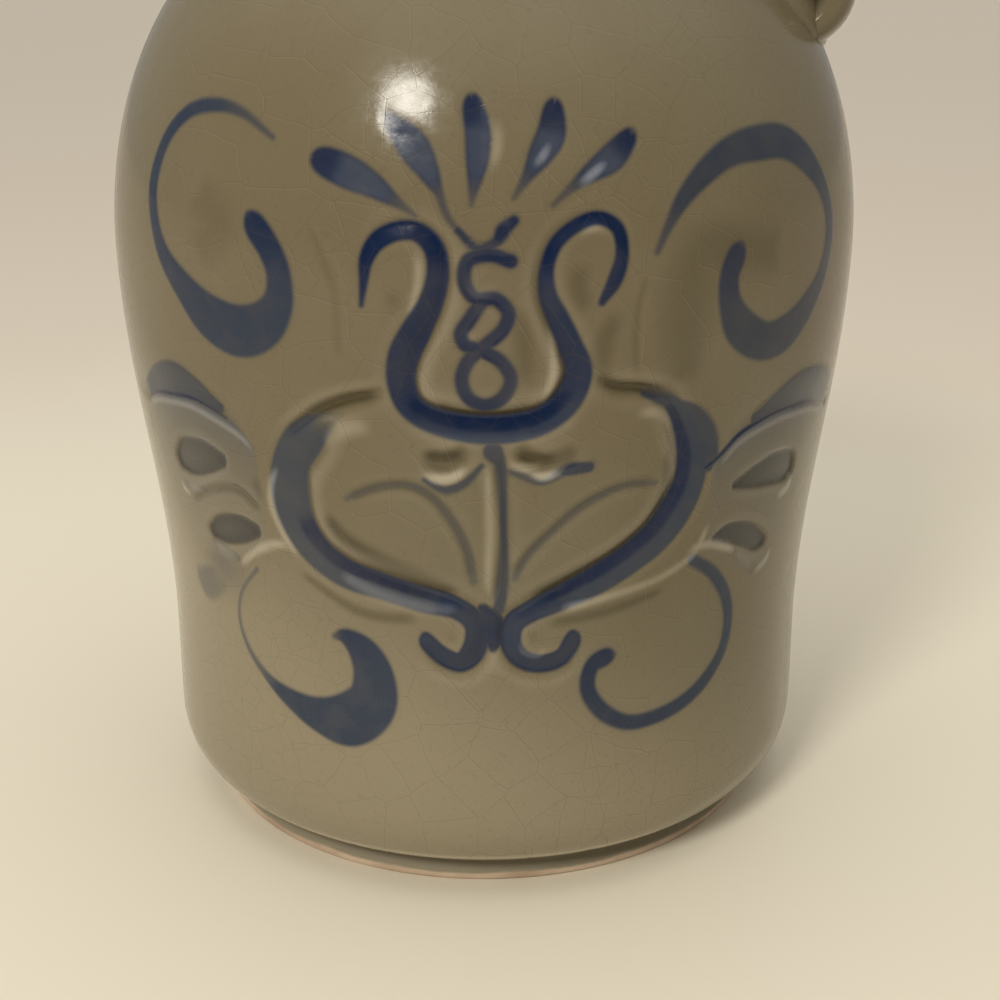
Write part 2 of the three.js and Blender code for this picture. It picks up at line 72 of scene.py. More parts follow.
def colour(name, description, default):
    return FloatVectorProperty(
        name=name, description=description, default=default, size=3, min=0.0, max=1.0, subtype="COLOR"
    )


def amount(name, description, default, top=1.0):
    return FloatProperty(name=name, description=description, default=default, min=0.0, max=top)


class JugShape(PropertyGroup):
    """Sizes of the thrown and pulled clay."""

    widest_radius: length("Widest radius", "Outer radius of the belly", body_high.x)
    widest_height: length("Widest height", "Height of the belly over the table", 0.120)
    waist_radius: length("Waist radius", "Outer radius of the slight waist", 0.0694)
    waist_height: length("Waist height", "Height of the waist over the table", 0.040)
    heel_radius: length("Heel radius", "Outer radius where the wall turns in to the foot", 0.0696)
    heel_height: length("Heel height", "Height where the wall turns in", 0.020)
    edge_radius: length("Edge radius", "Radius of the body's lower edge", 0.0645)
    shoulder_radius: length("Shoulder radius", "Radius where the domed shoulder is level", 0.026)
    shoulder_height: length("Shoulder height", "Height of the shoulder's dome", 0.188)
    wall: length("Wall", "Thickness of the thrown wall", 0.006)
    floor: length("Floor", "Thickness of the floor", 0.007)
    foot_height: length("Foot height", "Height of the foot ring", foot_high.z)
    foot_radius: length("Foot radius", "Outer radius of the foot ring", foot_high.x)
    foot_width: length("Foot width", "Width of the foot ring", 0.009)
    neck_seat: length("Neck seat", "Radius of the neck where it stands on the shoulder", 0.033)
    neck_radius: length("Neck radius", "Outer radius of the neck", 0.024)
    neck_bore: length("Neck bore", "Inner radius of the neck", 0.018)
    lip_radius: length("Lip radius", "Outer radius of the rolled lip", 0.029)
    lip_round: length("Lip round", "Half of the lip's height", 0.0045)
    strap_width: length("Strap width", "Width of the pulled strap", 0.025)
    strap_thickness: length("Strap thickness", "Thickness of the pulled strap", 0.0085)
    strap_reach: length("Strap reach", "How far the strap stands out from the jug's axis", 0.0684)
    strap_rise: length("Strap rise", "Height of the strap's top over the neck's seat", 0.019)


class JugRelief(PropertyGroup):
    """Depths of the carving and thickness of the slip."""

    cut_depth: length("Cut depth", "Depth of the bevelled cuts at their deep edge", 0.0017)
    scoop_depth: length("Scoop depth", "Depth of the scooped petals", 0.0003)
    line_depth: length("Line depth", "Depth of the fine lines", 0.0005)
    pod_depth: length("Pod depth", "Depth of the crevice over the seed pods", 0.00065)
    window_depth: length("Window depth", "Depth of the windows in the pods", 0.00065)
    slip_lift: length("Slip lift", "Thickness of a brushed coat of slip", 0.00008)
    coat: length("Coat", "Thickness of the solid that carries the slip", 0.0008)
    soft_edge: length("Soft edge", "Width over which slip fades into the glaze", 0.0006)


class JugFinish(PropertyGroup):
    """Colours of the fired surfaces."""

    glaze: colour("Glaze", "Olive grey glaze", (0.178, 0.148, 0.090))
    glaze_grey: colour("Grey glaze", "Greyer clouds in the glaze", (0.196, 0.168, 0.106))
    # Painted light: a lighter glaze laid towards the foot and the left side, where the floor and the lamp light the jug
    # most.
    glaze_lit_low: colour("Low glaze", "Lighter glaze towards the foot", (0.305, 0.26, 0.174))
    # Dark glaze where it lies thick, also the colour of painted shade in hollows, in the pod windows and under the
    # heart.
    glaze_pooled_and_shade: colour("Pooled glaze", "Glaze where it lies thick", (0.060, 0.047, 0.019))
    # Pale glaze where it breaks over an edge, also the colour of painted highlights.
    glaze_thin_and_lit: colour("Thin glaze", "Glaze where it breaks over an edge", (0.50, 0.45, 0.34))
    glaze_run: colour("Run glaze", "Glaze run into the foot's groove", (0.29, 0.255, 0.18))
    # Pale slip under thin glaze, also the colour of painted highlights on the slip.
    slip_thin_and_lit: colour("Thin slip", "Slip where the glaze breaks over an edge", (0.37, 0.41, 0.49))
    crackle: colour("Crackle", "Stain in the crackle lines", (0.085, 0.062, 0.034))
    brushed: colour("Brushed cobalt", "Thin brushed slip", (0.028, 0.042, 0.072))
    deep: colour("Deep cobalt", "Slip pooled in the carving", (0.007, 0.018, 0.060))
    clay: colour("Clay", "Bare fired clay", (0.68, 0.53, 0.395))
    clay_dark: colour("Dark clay", "Toasted patches of the bare clay", (0.50, 0.37, 0.26))


class JugStage(PropertyGroup):
    """Floor, lamps and camera."""

    floor: colour("Floor", "Pale floor round the jug", (0.83, 0.78, 0.645))
    floor_far: colour("Far floor", "Floor further away", (0.78, 0.70, 0.59))
    key_power: amount("Key power", "Power of the lamp that makes the highlight", 8.5, 100.0)
    room_level: amount("Room level", "Level of the light from behind and the sides", 0.36, 10.0)
    front_level: amount("Front level", "Level of the light from the camera's side", 0.07, 10.0)
    ceiling_level: amount("Ceiling level", "Level of the light from overhead", 0.95, 10.0)
    lens: FloatProperty(name="Lens", description="Focal length on a 36 mm sensor", default=54.0, min=10.0)


def shape():
    return bpy.context.scene.jug_shape


def relief():
    return bpy.context.scene.jug_relief


def finish():
    return bpy.context.scene.jug_finish


def stage_settings():
    return bpy.context.scene.jug_stage


# Numbers

def ease(low, high, value):
    """Smooth step from 0 at low to 1 at high."""
    t = np.clip((value - low) / (high - low), 0.0, 1.0)
    return t * t * (3.0 - 2.0 * t)


def cosine(share):
    return (1.0 - np.cos(np.pi * share)) / 2.0


def smooth_line(stations, step):
    """Points along a smooth line through the stations, at most a step apart."""
    points = np.array(stations, float)
    padded = np.vstack([2 * points[0] - points[1], points, 2 * points[-1] - points[-2]])
    runs = []
    for i in range(1, len(points)):
        before, start, end, after = padded[i - 1:i + 3]
        gaps = [max(np.sum((b - a) ** 2) ** 0.25, 1e-4) for a, b in ((before, start), (start, end), (end, after))]
        leave = (start - before) / gaps[0] - (end - before) / (gaps[0] + gaps[1]) + (end - start) / gaps[1]
        arrive = (end - start) / gaps[1] - (after - start) / (gaps[1] + gaps[2]) + (after - end) / gaps[2]
        leave, arrive = leave * gaps[1], arrive * gaps[1]
        count = max(2, int(np.ceil(np.linalg.norm(end - start) / step)))
        t = (np.arange(count) / count)[:, None]
        square = -3 * start + 3 * end - 2 * leave - arrive
        cube = 2 * start - 2 * end + leave + arrive
        runs.append(start + leave * t + square * t ** 2 + cube * t ** 3)
    return np.vstack(runs + [points[-1:]])


def blurred(field, reach):
    """The field averaged over a bell of that reach, in raster steps."""
    half = int(np.ceil(3 * reach))
    bell = np.exp(-0.5 * (np.arange(-half, half + 1) / reach) ** 2)
    bell /= bell.sum()
    for axis in (0, 1):
        wide = np.pad(field, [(half, half) if k == axis else (0, 0) for k in (0, 1)], mode="edge")
        size = field.shape[axis]
        parts = (weight * np.take(wide, range(k, k + size), axis) for k, weight in enumerate(bell))
        field = sum(parts)
    return field


def body_radius(z):
    """Outer radius of the body at heights in millimetres."""
    s = shape()
    z = np.asarray(z, float)
    heel, waist, widest = s.heel_height / MM, s.waist_height / MM, s.widest_height / MM
    radii = [x / MM for x in (s.heel_radius, s.edge_radius, s.waist_radius, s.widest_radius, s.shoulder_radius)]
    heel_r, edge_r, waist_r, widest_r, shoulder_r = radii
    foot, top = s.foot_height / MM, s.shoulder_height / MM
    low = heel_r - (heel_r - edge_r) * np.clip((heel - z) / (heel - foot), 0, 1.2) ** 3
    under = heel_r + (waist_r - heel_r) * cosine(np.clip((z - heel) / (waist - heel), 0, 1))
    belly = waist_r + (widest_r - waist_r) * cosine(np.clip((z - waist) / (widest - waist), 0, 1))
    dome = shoulder_r + (widest_r - shoulder_r) * np.sqrt(
        np.clip(1 - (np.clip(z - widest, 0, None) / (top - widest)) ** 2, 0, 1)
    )
    return np.where(z < heel, low, np.where(z < waist, under, np.where(z < widest, belly, dome)))


# Ornament: girth round the wall from the tulip's middle, height over the table, both in millimetres

TULIP_HEIGHT = 98.0

# Brush strokes and cuts as stations of girth, rise over the tulip's base, width
STROKES = {
    "scroll_upper_left": ("brushed", [
        (-38.5, 47.5, 0.9), (-46, 51, 1.7), (-53, 52, 2.4), (-61, 50.5, 2.8), (-67, 45.5, 3), (-70, 37, 3.4),
        (-68.5, 30.5, 3.4), (-65.5, 25.5, 4.3), (-59.5, 20.5, 6.2), (-53, 16.2, 8.8), (-46, 14.5, 9.6),
        (-40, 16.3, 8.2), (-36.5, 20.5, 6.1), (-36.2, 25.5, 5.1), (-38, 29.5, 5), (-41, 33, 4.8),
        (-42.2, 34.4, 2.4)]),
    "scroll_upper_right": ("brushed", [
        (29.5, 29.5, 1.2), (32, 34, 2), (35, 38, 3.2), (40, 42, 4.4), (46, 44.8, 5.1), (53, 45.7, 6),
        (60.5, 45.4, 6.1), (67, 42.4, 5.7), (72.5, 37.4, 4.4), (75.5, 32, 3.9), (75.5, 26, 3.9), (72.5, 20, 4.4),
        (67, 15, 6.1), (61, 11.8, 7.4), (54.5, 11.2, 7.3), (48, 14.6, 7.2), (45, 19.4, 5.2), (44.5, 24, 4.6),
        (46, 27.4, 4.4), (47, 28.8, 2.2)]),
    "scroll_lower_left": ("brushed", [
        (-49.5, -32.5, 0.9), (-55.5, -39, 0.9), (-57.3, -45, 1), (-55.5, -50.5, 1.4), (-50.5, -55.3, 2),
        (-44.5, -58.4, 4.2), (-36.2, -60.6, 7.8), (-29.2, -60.2, 11.2), (-24, -56, 10.7), (-23.2, -50.3, 9.1),
        (-25, -45.5, 7), (-29, -42.6, 3.3), (-31.5, -43, 1.2)]),
    "scroll_lower_right": ("brushed", [
        (43, -29.5, 2.4), (49, -33.5, 2.8), (54, -39.5, 3.1), (56, -45.5, 3.1), (55, -51.5, 3.1),
        (50.3, -56.5, 3.3), (44.2, -59.7, 3.3), (36.6, -61.3, 3.3), (29.6, -61, 3.4), (23.8, -57.4, 3.6),
        (20.8, -52.4, 3.5), (21.7, -47.8, 3.6), (24.2, -46.5, 4), (25.6, -46.3, 2.2)]),
    "petal_far_left": ("scooped", [
        (-29.6, 44.6, 2), (-28, 44.2, 4.6), (-23.5, 42.7, 5.4), (-19, 40.8, 4.1), (-14.5, 38.1, 1.8),
        (-11.5, 36.2, 0.8)]),
    "petal_left": ("scooped", [
        (-17, 51.6, 1.6), (-15.8, 50.3, 3), (-12, 46.8, 5.3), (-9.5, 43.3, 3.7), (-7.5, 39.5, 1.6),
        (-6.2, 36.2, 1.3), (-4, 33.4, 1)]),
    "petal_middle": ("scooped", [
        (-2.2, 54.4, 1.6), (-2, 53, 3.7), (-1.2, 49.3, 4.5), (-1.2, 45.4, 4), (-1.7, 41.5, 2.3), (-2.2, 38, 0.8)]),
    "petal_right": ("scooped", [
        (12.3, 53.6, 1.6), (12, 52.2, 3.8), (11.4, 48.8, 5), (9.5, 45.8, 4.2), (7.3, 42.6, 2.1), (4.8, 39, 0.8)]),
    "petal_far_right": ("scooped", [
        (26, 48.8, 1.4), (25, 47.7, 3.3), (22, 45, 4.6), (18.2, 42.8, 3.2), (14.5, 40.4, 1.6), (11.3, 37.8, 0.8)]),
    "stamen_tip": ("lined", [(4.8, 35.5, 1), (3, 34, 1.6), (2.2, 32.8, 1)]),
    "tulip_cup": ("cup", [
        (-20.8, 21.3, 0.9), (-20.3, 25.2, 1.7), (-19.8, 29, 2.7), (-17.9, 32, 3.3), (-14.3, 33.7, 3.3),
        (-11, 33.5, 3.3), (-8.4, 31, 3.6), (-7.8, 27, 3.8), (-9, 22.3, 4.1), (-11.5, 17.5, 5), (-13.8, 13, 5.4),
        (-14.5, 8.6, 5), (-13.3, 4.5, 4.7), (-9.7, 1.8, 4.7), (0, 0, 5.2), (9.6, 1.4, 5.1), (14.4, 5.3, 5.1),
        (16, 10.2, 4.7), (14.4, 14.6, 4.2), (12.3, 19.1, 3.8), (10.4, 23.4, 3.1), (10.2, 27.7, 2.5),
        (11.7, 31.6, 2.4), (15.1, 34.4, 2.4), (19.1, 35.5, 2.4), (22.3, 33.8, 2.5), (23.1, 29.6, 2.6),
        (21.9, 25.5, 2.8), (19.6, 21.8, 1.4)]),
    "stamen_twist": ("lined", [
        (4.2, 29, 1.7), (0.8, 30, 1.7), (-2.8, 29, 1.7), (-3.4, 25.7, 1.7), (-1.6, 23, 1.7), (1.8, 22.8, 1.7),
        (3.8, 20.5, 1.7), (3, 17.8, 1.7), (0, 15, 1.7), (-2.8, 12.4, 1.7), (-4, 9, 1.7), (-2.8, 5.8, 1.7),
        (0, 4.6, 1.7), (2.8, 5.8, 1.7), (4.3, 9, 1.7), (2.8, 12, 1.7), (-0.3, 14, 1.7), (-3.4, 15.2, 1.7),
        (-4, 17, 1.7), (-2.6, 19.3, 1.7), (-0.6, 22.4, 1.7)]),
    "heart_left": ("heart", [
        (-26, 1.5, 1), (-29, 0, 3.4), (-34, -4, 7), (-37.4, -8.8, 7.2), (-38.7, -14.5, 8), (-37.8, -20.7, 7.4),
        (-34.2, -26, 6.4), (-28.3, -29.6, 5.8), (-21, -31.4, 5.2), (-13, -33.3, 4.6), (-5.6, -35, 3.4),
        (-2.2, -38, 3.6), (-2.2, -42.8, 4.2), (-5, -46, 3.6), (-8.8, -44.8, 3.4), (-11.6, -42, 2.8),
        (-11.9, -40.9, 1.4)]),
    "heart_right": ("heart", [
        (28, 5.7, 1.2), (33.7, 3, 2.8), (37, -1, 4.2), (40, -7.5, 6.2), (40.2, -13.2, 6.8), (38, -18.4, 7.4),
        (34.3, -23, 6.9), (29, -26.7, 6.3), (22, -30.4, 5.8), (14.4, -33.5, 4.6), (8.6, -35.8, 3.4),
        (5.4, -38.1, 3.4), (4.9, -42.3, 3.5), (7.2, -45.5, 3.3), (11.6, -46.6, 3.3), (15.5, -45.4, 3.3),
        (17.2, -42.3, 3), (17.2, -41, 1.4)]),
    "stem": ("ridged", [(1.2, -5, 1.6), (1.8, -9, 2), (2.6, -19.5, 2.3), (1.6, -32.5, 2.2)]),
    "sepal_left": ("lipped", [(-11.8, -8, 1), (-10, -8.6, 2), (-7, -9.2, 2.8), (-3, -7, 2), (-1, -5, 0.9)]),
    "sepal_right": ("lipped", [
        (3.6, -5.2, 0.9), (6.4, -7.4, 2.1), (10.4, -8.8, 2.4), (14.4, -8, 2.1), (17.8, -7.3, 1.4)]),
    "leaf_rib_left": ("ribbed", [
        (-26, -14.2, 0.9), (-20, -11.5, 1.2), (-14.4, -10.6, 1.2), (-10.3, -12.2, 1.4), (-6.3, -17, 1.6),
        (-3.5, -23, 1.6), (-2.4, -29, 1.4)]),
    "leaf_rib_right": ("ribbed", [
        (32, -12, 0.9), (25.7, -11.8, 1.1), (18.3, -14.7, 1.4), (12.5, -19.4, 1.4), (8, -24, 1.4),
        (5.4, -28.5, 1.3)]),
    "pod_cap_left": ("capped", [
        (-82, -2.9, 3), (-74, 0.7, 5.2), (-66, 2.3, 6.6), (-60, 1.7, 4.8), (-53.5, -0.9, 2.2)]),
    "pod_cap_right": ("capped", [
        (55.5, -3.6, 2.2), (62, -1.5, 4.8), (68.5, -0.5, 7), (76, -1.1, 7.2), (82, -2.5, 6.6), (88, -4.9, 4.3)]),
    "pod_tip_left": ("washed", [(-71.5, -39.5, 3), (-69, -40.7, 7), (-64, -38.4, 6.4), (-57, -35, 3)]),
}

# Seed pods as stations of girth, upper and lower edge, with the windows in each
PODS = {
    "pod_left": (
        [(-82, -4.6, -10), (-76, -2.5, -24.5), (-70, -1.5, -32.5), (-62, -0.8, -32.7), (-54, -2.2, -30.7),
         (-49, -3.8, -29), (-45.3, -7, -25)],
        [[(-70.3, -14.6, 4.6), (-66.5, -13.2, 7.6), (-60.5, -11.9, 6.8), (-55.3, -11.4, 3.4)],
         [(-62.3, -27.7, 3.4), (-58, -26.3, 6.2), (-52.7, -25, 5.8), (-48.6, -24.4, 3.2)]],
    ),
    "pod_right": (
        [(45.3, -10.5, -27.5), (51, -6.2, -31.5), (58, -4.4, -35.5), (64, -3.8, -37.2), (69, -4, -34.5),
         (75, -4.5, -23), (82, -6, -18), (88, -7.7, -12)],
        [[(52, -16.2, 1.5), (58, -15.7, 5), (64, -15.6, 7), (70, -16.5, 6.5), (72.4, -17.5, 3)],
         [(48.3, -26.4, 1.2), (52, -26, 4), (58, -27.7, 5.2), (63, -30.3, 4.6), (65.6, -31.2, 2.5)]],
    ),
}

# Bare carved lines: depth, width of the rounded bank below, stations of girth, rise, width
CARVED_LINES = [
    (0.35, 0.0, [(-30.5, 35.2, 0.6), (-28, 30.2, 0.9), (-25.7, 24.1, 1), (-25.3, 10.3, 0.6)]),
    (0.35, 0.0, [(28.6, 27, 0.6), (26.7, 20.7, 0.9), (26.5, 12.9, 1), (27.2, 7.5, 0.6)]),
    (1.0, 4.0, [(-38.2, -4.6, 1.2), (-34.3, -1.1, 1.6), (-29.5, 2.2, 1.8), (-24.4, 4.4, 1.8), (-19, 5.9, 1.4),
                (-16.7, 7.5, 0.8)]),
    (1.0, 4.0, [(18.7, 9.1, 0.8), (22.5, 7, 1.2), (27.4, 6.1, 1.6), (33, 4.5, 1.6), (36.5, 1, 1.2)]),
    (0.7, 0.0, [(-68.8, -23.1, 0.8), (-63.1, -20, 1.1), (-57.7, -17.6, 1.3), (-53.4, -16.6, 1.3),
                (-50.3, -17.1, 1.2), (-47.6, -18.8, 1), (-44.3, -19.7, 0.8)]),
]

# Touches of the brush, and painted shadow lines in the crevices over the pods: strength, tone from grey-blue to navy,
# depth, stations of girth, rise, width
TOUCHES_AND_SHADOW_LINES = [
    (0.93, 0.8, 0.3, [(-0.5, -34.9, 2.4), (1.6, -37.5, 3.8), (1.6, -41, 3.8), (1.3, -43, 2)]),
    (0.8, 0.25, 0, [(1.3, -3.9, 3.6), (2.7, -6.6, 2), (3.2, -17.6, 1.5), (3.5, -29.7, 1.7), (2.4, -35, 2.5)]),
    (0.8, 0.2, 0, [(-10.9, -9.4, 1), (-7.2, -11.2, 1.8), (-3.8, -9.9, 1.6), (-0.7, -6.5, 1)]),
    (0.65, 0.1, 0, [(3.6, -7.5, 1), (6.4, -8.5, 1.4), (9.9, -9.8, 1.4), (15, -7.6, 2.2), (18.5, -7.8, 1.6)]),
    (0.9, 0.3, 0, [(13.6, -8.4, 1), (15.4, -7.7, 2.3), (18.6, -7.5, 2.1)]),
    (0.85, 0.15, 0, [(28.2, 5, 1), (34.5, 2.3, 2.4), (39, -0.3, 4), (42.3, -4.4, 5), (44, -8.5, 4), (44, -11, 2)]),
    (0.8, 0.45, 0, [(-33, -1.5, 1), (-38, -7.1, 2.5), (-40.2, -10.5, 1.5)]),
    (0.85, 0.6, 0, [(4.8, 35.9, 1.2), (2.9, 33.1, 1.8), (0.8, 31.5, 1.8), (-1.3, 31.1, 1.6), (-4.5, 34, 1.3)]),
    (0.98, 1, 0, [(-14.2, 4.6, 1), (-11.4, 3.4, 1.5), (-7, 2.2, 1.8), (-1, 1.5, 2), (5, 1.6, 1.8), (10.5, 2.7, 1.5)]),
    # Painted shadow: near-black lines in the crevice over each pod's upper edge
    (0.99, 1, 0, [(-82, -4.5, 0.8), (-76, -2.4, 1), (-70, -1.4, 1.1), (-62, -0.7, 1), (-57, -1.4, 0.7),
                  (-52, -2.8, 0.4)]),
    (0.99, 1, 0, [(43.4, -11, 1.2), (46.7, -9, 1.2), (51, -6.2, 1.1), (58, -4.4, 0.9), (64, -3.8, 0.8),
                  (69, -4, 0.8), (75, -4.5, 0.8), (82, -6, 0.6), (86, -7.2, 0.4)]),
    # Grey-blue slip under the painted highlight crescents below the pod windows
    (0.35, 0, 0, [(-70, -19.6, 1.6), (-67, -19.9, 2.6), (-63, -19.4, 1.6)]),
    (0.4, 0, 0, [(-63, -30.2, 1.5), (-59, -31.2, 3.2), (-55, -31.6, 2)]),
    (0.3, 0, 0, [(72.6, -18.3, 1.4), (72.4, -21, 2.6), (67.2, -22.6, 1.6)]),
    (0.3, 0, 0, [(55, -30.5, 1.6), (59, -33.5, 3.2), (64, -36.8, 2.2), (68.6, -35, 2.2), (69.8, -33.2, 1.2)]),
]

# Places where glaze lies thick and dark, and painted shade in hollows, under the heart and inside the cup, with painted
# reflection of the dark room inside the upper scrolls: strength, stations of girth, rise, width
POOLS_AND_SHADE = [
    # Thick glaze and painted shade along the lower inner edges of the heart
    (0.95, [(-31.2, -17.4, 2), (-27.7, -22, 4), (-21, -25.6, 4.2), (-12.4, -28.9, 4), (-4.8, -32, 3)]),
    (0.9, [(33.6, -6, 1), (34.4, -13.6, 2.6), (32, -20, 3.8), (25.2, -25.8, 4), (17.1, -28.8, 4), (8.1, -32.8, 3)]),
    # Painted shade in the hollows over the sepals
    (1.0, [(-11.6, -4.7, 1.5), (-7.6, -4.8, 2.4), (-3.7, -4.6, 1.6)]),
    (0.75, [(4.7, -4.8, 1.2), (8.6, -5.2, 2), (13.2, -5.8, 1.2)]),
    # Painted shadow under the heart's lower edge
    (0.55, [(-38.5, -30.7, 1), (-24.9, -37.1, 2.5), (-13.1, -37.4, 2.5)]),
    (0.55, [(12, -38.3, 2), (24.4, -37, 2.5), (37.2, -34.4, 1)]),
    (0.7, [(-38.2, -4.6, 1.5), (-34.3, -1.1, 2.2), (-29.5, 2.4, 2.6), (-24.4, 4.6, 2.6), (-19, 6.1, 2)]),
    (0.7, [(18.7, 9.3, 1.2), (22.5, 7.2, 2), (27.4, 6.3, 2.4), (33, 4.7, 2)]),
    (0.9, [(-9.5, 5, 1.5), (-4, 3.6, 3), (3, 3.4, 3), (9, 4.8, 2)]),
    # Painted shade inside and beside the cup, and painted reflection of the dark room inside the upper scrolls
    (0.45, [(7, 8, 3), (6.5, 16, 4.5), (5.5, 22, 3)]),
    (0.5, [(17.5, 20, 3), (15.5, 24, 4.5), (16, 29, 4.5)]),
    (0.4, [(-15, 20, 3), (-15.5, 25, 4)]),
    (0.5, [(20, 6, 3), (20, 14, 5), (22.5, 20, 3)]),
    (0.4, [(36, 6, 8), (36, 18, 16), (38, 28, 14), (58, 27, 12)]),
    (0.25, [(-56, 27, 10), (-50, 32, 14), (-56, 38, 10)]),
    (0.7, [(-7.5, -41.5, 2), (-5.8, -40, 2.4)]),
    (0.7, [(8, -41.5, 2), (10.5, -40, 2.6)]),
    (0.5, [(-46, -12, 1.5), (-46, -15, 2), (-45, -18, 1.5)]),
]

# Places where glaze breaks thin and pale over an edge, and painted highlights on rims, lips, streaks and crescents that
# face the light: strength, stations of girth, rise, width
PALE_AND_LIT = [
    (0.4, [(-11.7, 30.7, 1.2), (-11, 28.5, 1.2), (-11.1, 25.1, 1), (-11.8, 22.2, 0.9), (-13, 18.7, 0.8)]),
    (0.5, [(10.3, 18.3, 0.6), (11.2, 15.7, 0.9), (11.6, 12.1, 1.1), (11.4, 9, 1.2), (10.6, 6.3, 1.1), (9.5, 3.7, 0.8)]),
    (0.5, [(15.4, 32.8, 1), (17, 33.8, 1.2), (19, 34.1, 1.2), (20.5, 33, 1)]),
    (0.4, [(-2.9, 25.7, 0.8), (-1.7, 24, 1), (0, 23.6, 1), (1.8, 24.9, 0.8)]),
    (0.3, [(-3, 18.5, 0.8), (-2.6, 16.3, 0.8), (-1.1, 15.2, 0.8)]),
    (0.35, [(2, 51.2, 1.4), (2.3, 47.3, 1.6), (1.1, 43, 1)]),
    (0.6, [(11.6, 48, 1), (9.7, 45.3, 1.3), (7.7, 43.4, 0.9)]),
    (0.7, [(21.5, 44.6, 1), (18.6, 42.7, 1.4), (15.6, 40.6, 1)]),
    (0.35, [(-23.6, 43.8, 1.2), (-21.5, 43.7, 1)]),
    (0.4, [(-30.2, -5.1, 1.6), (-27.6, -2.2, 3.4), (-24.2, -0.7, 3.8), (-20, -0.2, 2)]),
    (0.45, [(27, 1.4, 1.2), (30.7, 1.5, 1.8), (33.5, -0.3, 1.6), (35.6, -3.9, 1.2), (36.6, -8.9, 1),
            (36.5, -13.3, 0.8)]),
    (0.6, [(-40.5, -9.9, 0.6), (-42.5, -14, 1), (-42.9, -18.5, 1.2), (-41.2, -23.4, 1.1), (-38.1, -28, 0.8)]),
    (0.3, [(-29.7, -29.7, 2), (-23.2, -32.3, 2.8), (-16.8, -34, 3), (-10.5, -35, 2.6), (-4.8, -35, 1.2)]),
    (0.5, [(46.4, -22.2, 0.8), (43.3, -28.1, 1.2), (36.8, -31.4, 1.2), (24.2, -34, 1.3), (14.5, -35.6, 1.5)]),
    (1.0, [(-11, -7.8, 0.8), (-8.9, -9, 1.6), (-6.1, -8.9, 1.6), (-3.1, -6.8, 0.8)]),
    (0.95, [(7.5, -7.9, 0.8), (10.4, -8.8, 1.4), (13.6, -7.8, 0.8)]),
    (0.5, [(3.8, -5.9, 0.8), (7.5, -7.2, 1), (10.1, -6.9, 0.8)]),
    (0.3, [(0.4, -6.4, 0.2), (0.5, -12, 0.8), (0.6, -18, 1.5), (0.5, -26, 1.1), (0.4, -33, 0.2)]),
    (0.3, [(6.5, -41.3, 0.7), (7.4, -43.9, 0.8), (10.3, -44.8, 0.8), (12.5, -42.6, 0.7)]),
    (0.3, [(13.1, -40.7, 1), (14.7, -39.8, 1)]),
    (0.10, [(-13.6, 0.2, 1.5), (-9.2, -1, 2), (-2.6, -1.6, 2.2), (6.3, -1.6, 2.2), (11.9, -0.6, 2), (16.3, 2, 1.5)]),
    (0.45, [(-81.6, -6, 0.8), (-76, -3.9, 1.1), (-70, -2.9, 1.3), (-62, -2.3, 1.3), (-55, -3.4, 1.2),
            (-49.4, -5.1, 1.2), (-46.7, -6.8, 1), (-45.4, -8.6, 0.8)]),
    (0.4, [(46.3, -11.6, 0.6), (51, -7.7, 0.8), (58, -5.9, 1), (64, -5.3, 1.2), (69, -5.5, 1.3),
           (75, -6, 1.2), (85, -8.4, 0.8)]),
    (0.9, [(-72.2, -19.2, 0.7), (-71.2, -21, 0.8), (-68.2, -21.8, 0.7)]),
    (0.75, [(-39.3, -26.2, 0.8), (-42.1, -25.9, 1.6), (-46.2, -27.2, 2), (-50.4, -29.7, 1.4), (-54.6, -33.2, 0.8)]),
    (0.6, [(41.4, -28, 0.8), (44.6, -27, 1.6), (48.7, -27.6, 1.8), (55.6, -30.5, 1.4)]),
    (0.75, [(72.6, -18.3, 1.2), (72.4, -21, 2), (67.2, -22.6, 1.2)]),
    (0.65, [(69.8, -33.2, 1), (67.6, -35.8, 1.8), (62.9, -37.6, 1)]),
    (0.3, [(-70, -19.6, 1.4), (-67, -19.9, 2.4), (-63, -19.4, 1.4)]),
    (0.25, [(-63, -30.2, 1.5), (-59, -31.2, 3), (-55, -31.6, 2)]),
    (0.22, [(55, -30.5, 1.6), (59, -33.5, 3), (63, -36, 2)]),
]

# Strokes that differ from others of their kind: depth of a scoop, strength of the slip and milkiness, as shares
SHALLOW = {"petal_left": 0.35, "petal_far_left": 0.7}
FAINT = {"scroll_upper_right": 0.9}
MILKY = {"scroll_lower_left": 0.03}

# Each half of the heart: deep side (1 is left of the stroke), strength, paleness, travel over which navy sets in
HEARTS = {"heart_left": (1, 0.84, 1.0, (25, 30)), "heart_right": (-1, 0.93, 0.5, (-2, -1))}

# A soft wash low on a pod: girth, rise, reach along the girth, reach up and down, strength
LOW_WASH = {"pod_left": (-61, -34, 7, 5, 0.42)}

# How far the slip's solid reaches past the slip, and how high it lies, so that neighbours don't share a face
MARGIN = {"brushed": 0.9, "washed": 0.9, "capped": 0.9, "scooped": 1.3, "lined": 0.9, "ribbed": 0.9, "cup": 1.6,
          "heart": 1.6, "ridged": 1.2, "lipped": 1.2, "pod": 2.4}
CAP_CLEAR = 2.0
LAYER = {"heart_left": 0, "heart_right": 1, "stem": 2, "sepal_left": 3, "sepal_right": 3, "leaf_rib_left": 4,
         "leaf_rib_right": 4, "tulip_cup": 1, "stamen_twist": 2, "stamen_tip": 3, "petal_left": 4, "pod_left": 1,
         "pod_right": 2, "pod_cap_left": 4, "pod_cap_right": 5, "pod_tip_left": 3, "scroll_lower_left": 2,
         "scroll_lower_right": 3, "petal_far_left": 2, "petal_middle": 2, "petal_right": 2, "petal_far_right": 2}
LAYER_STEP = 0.03

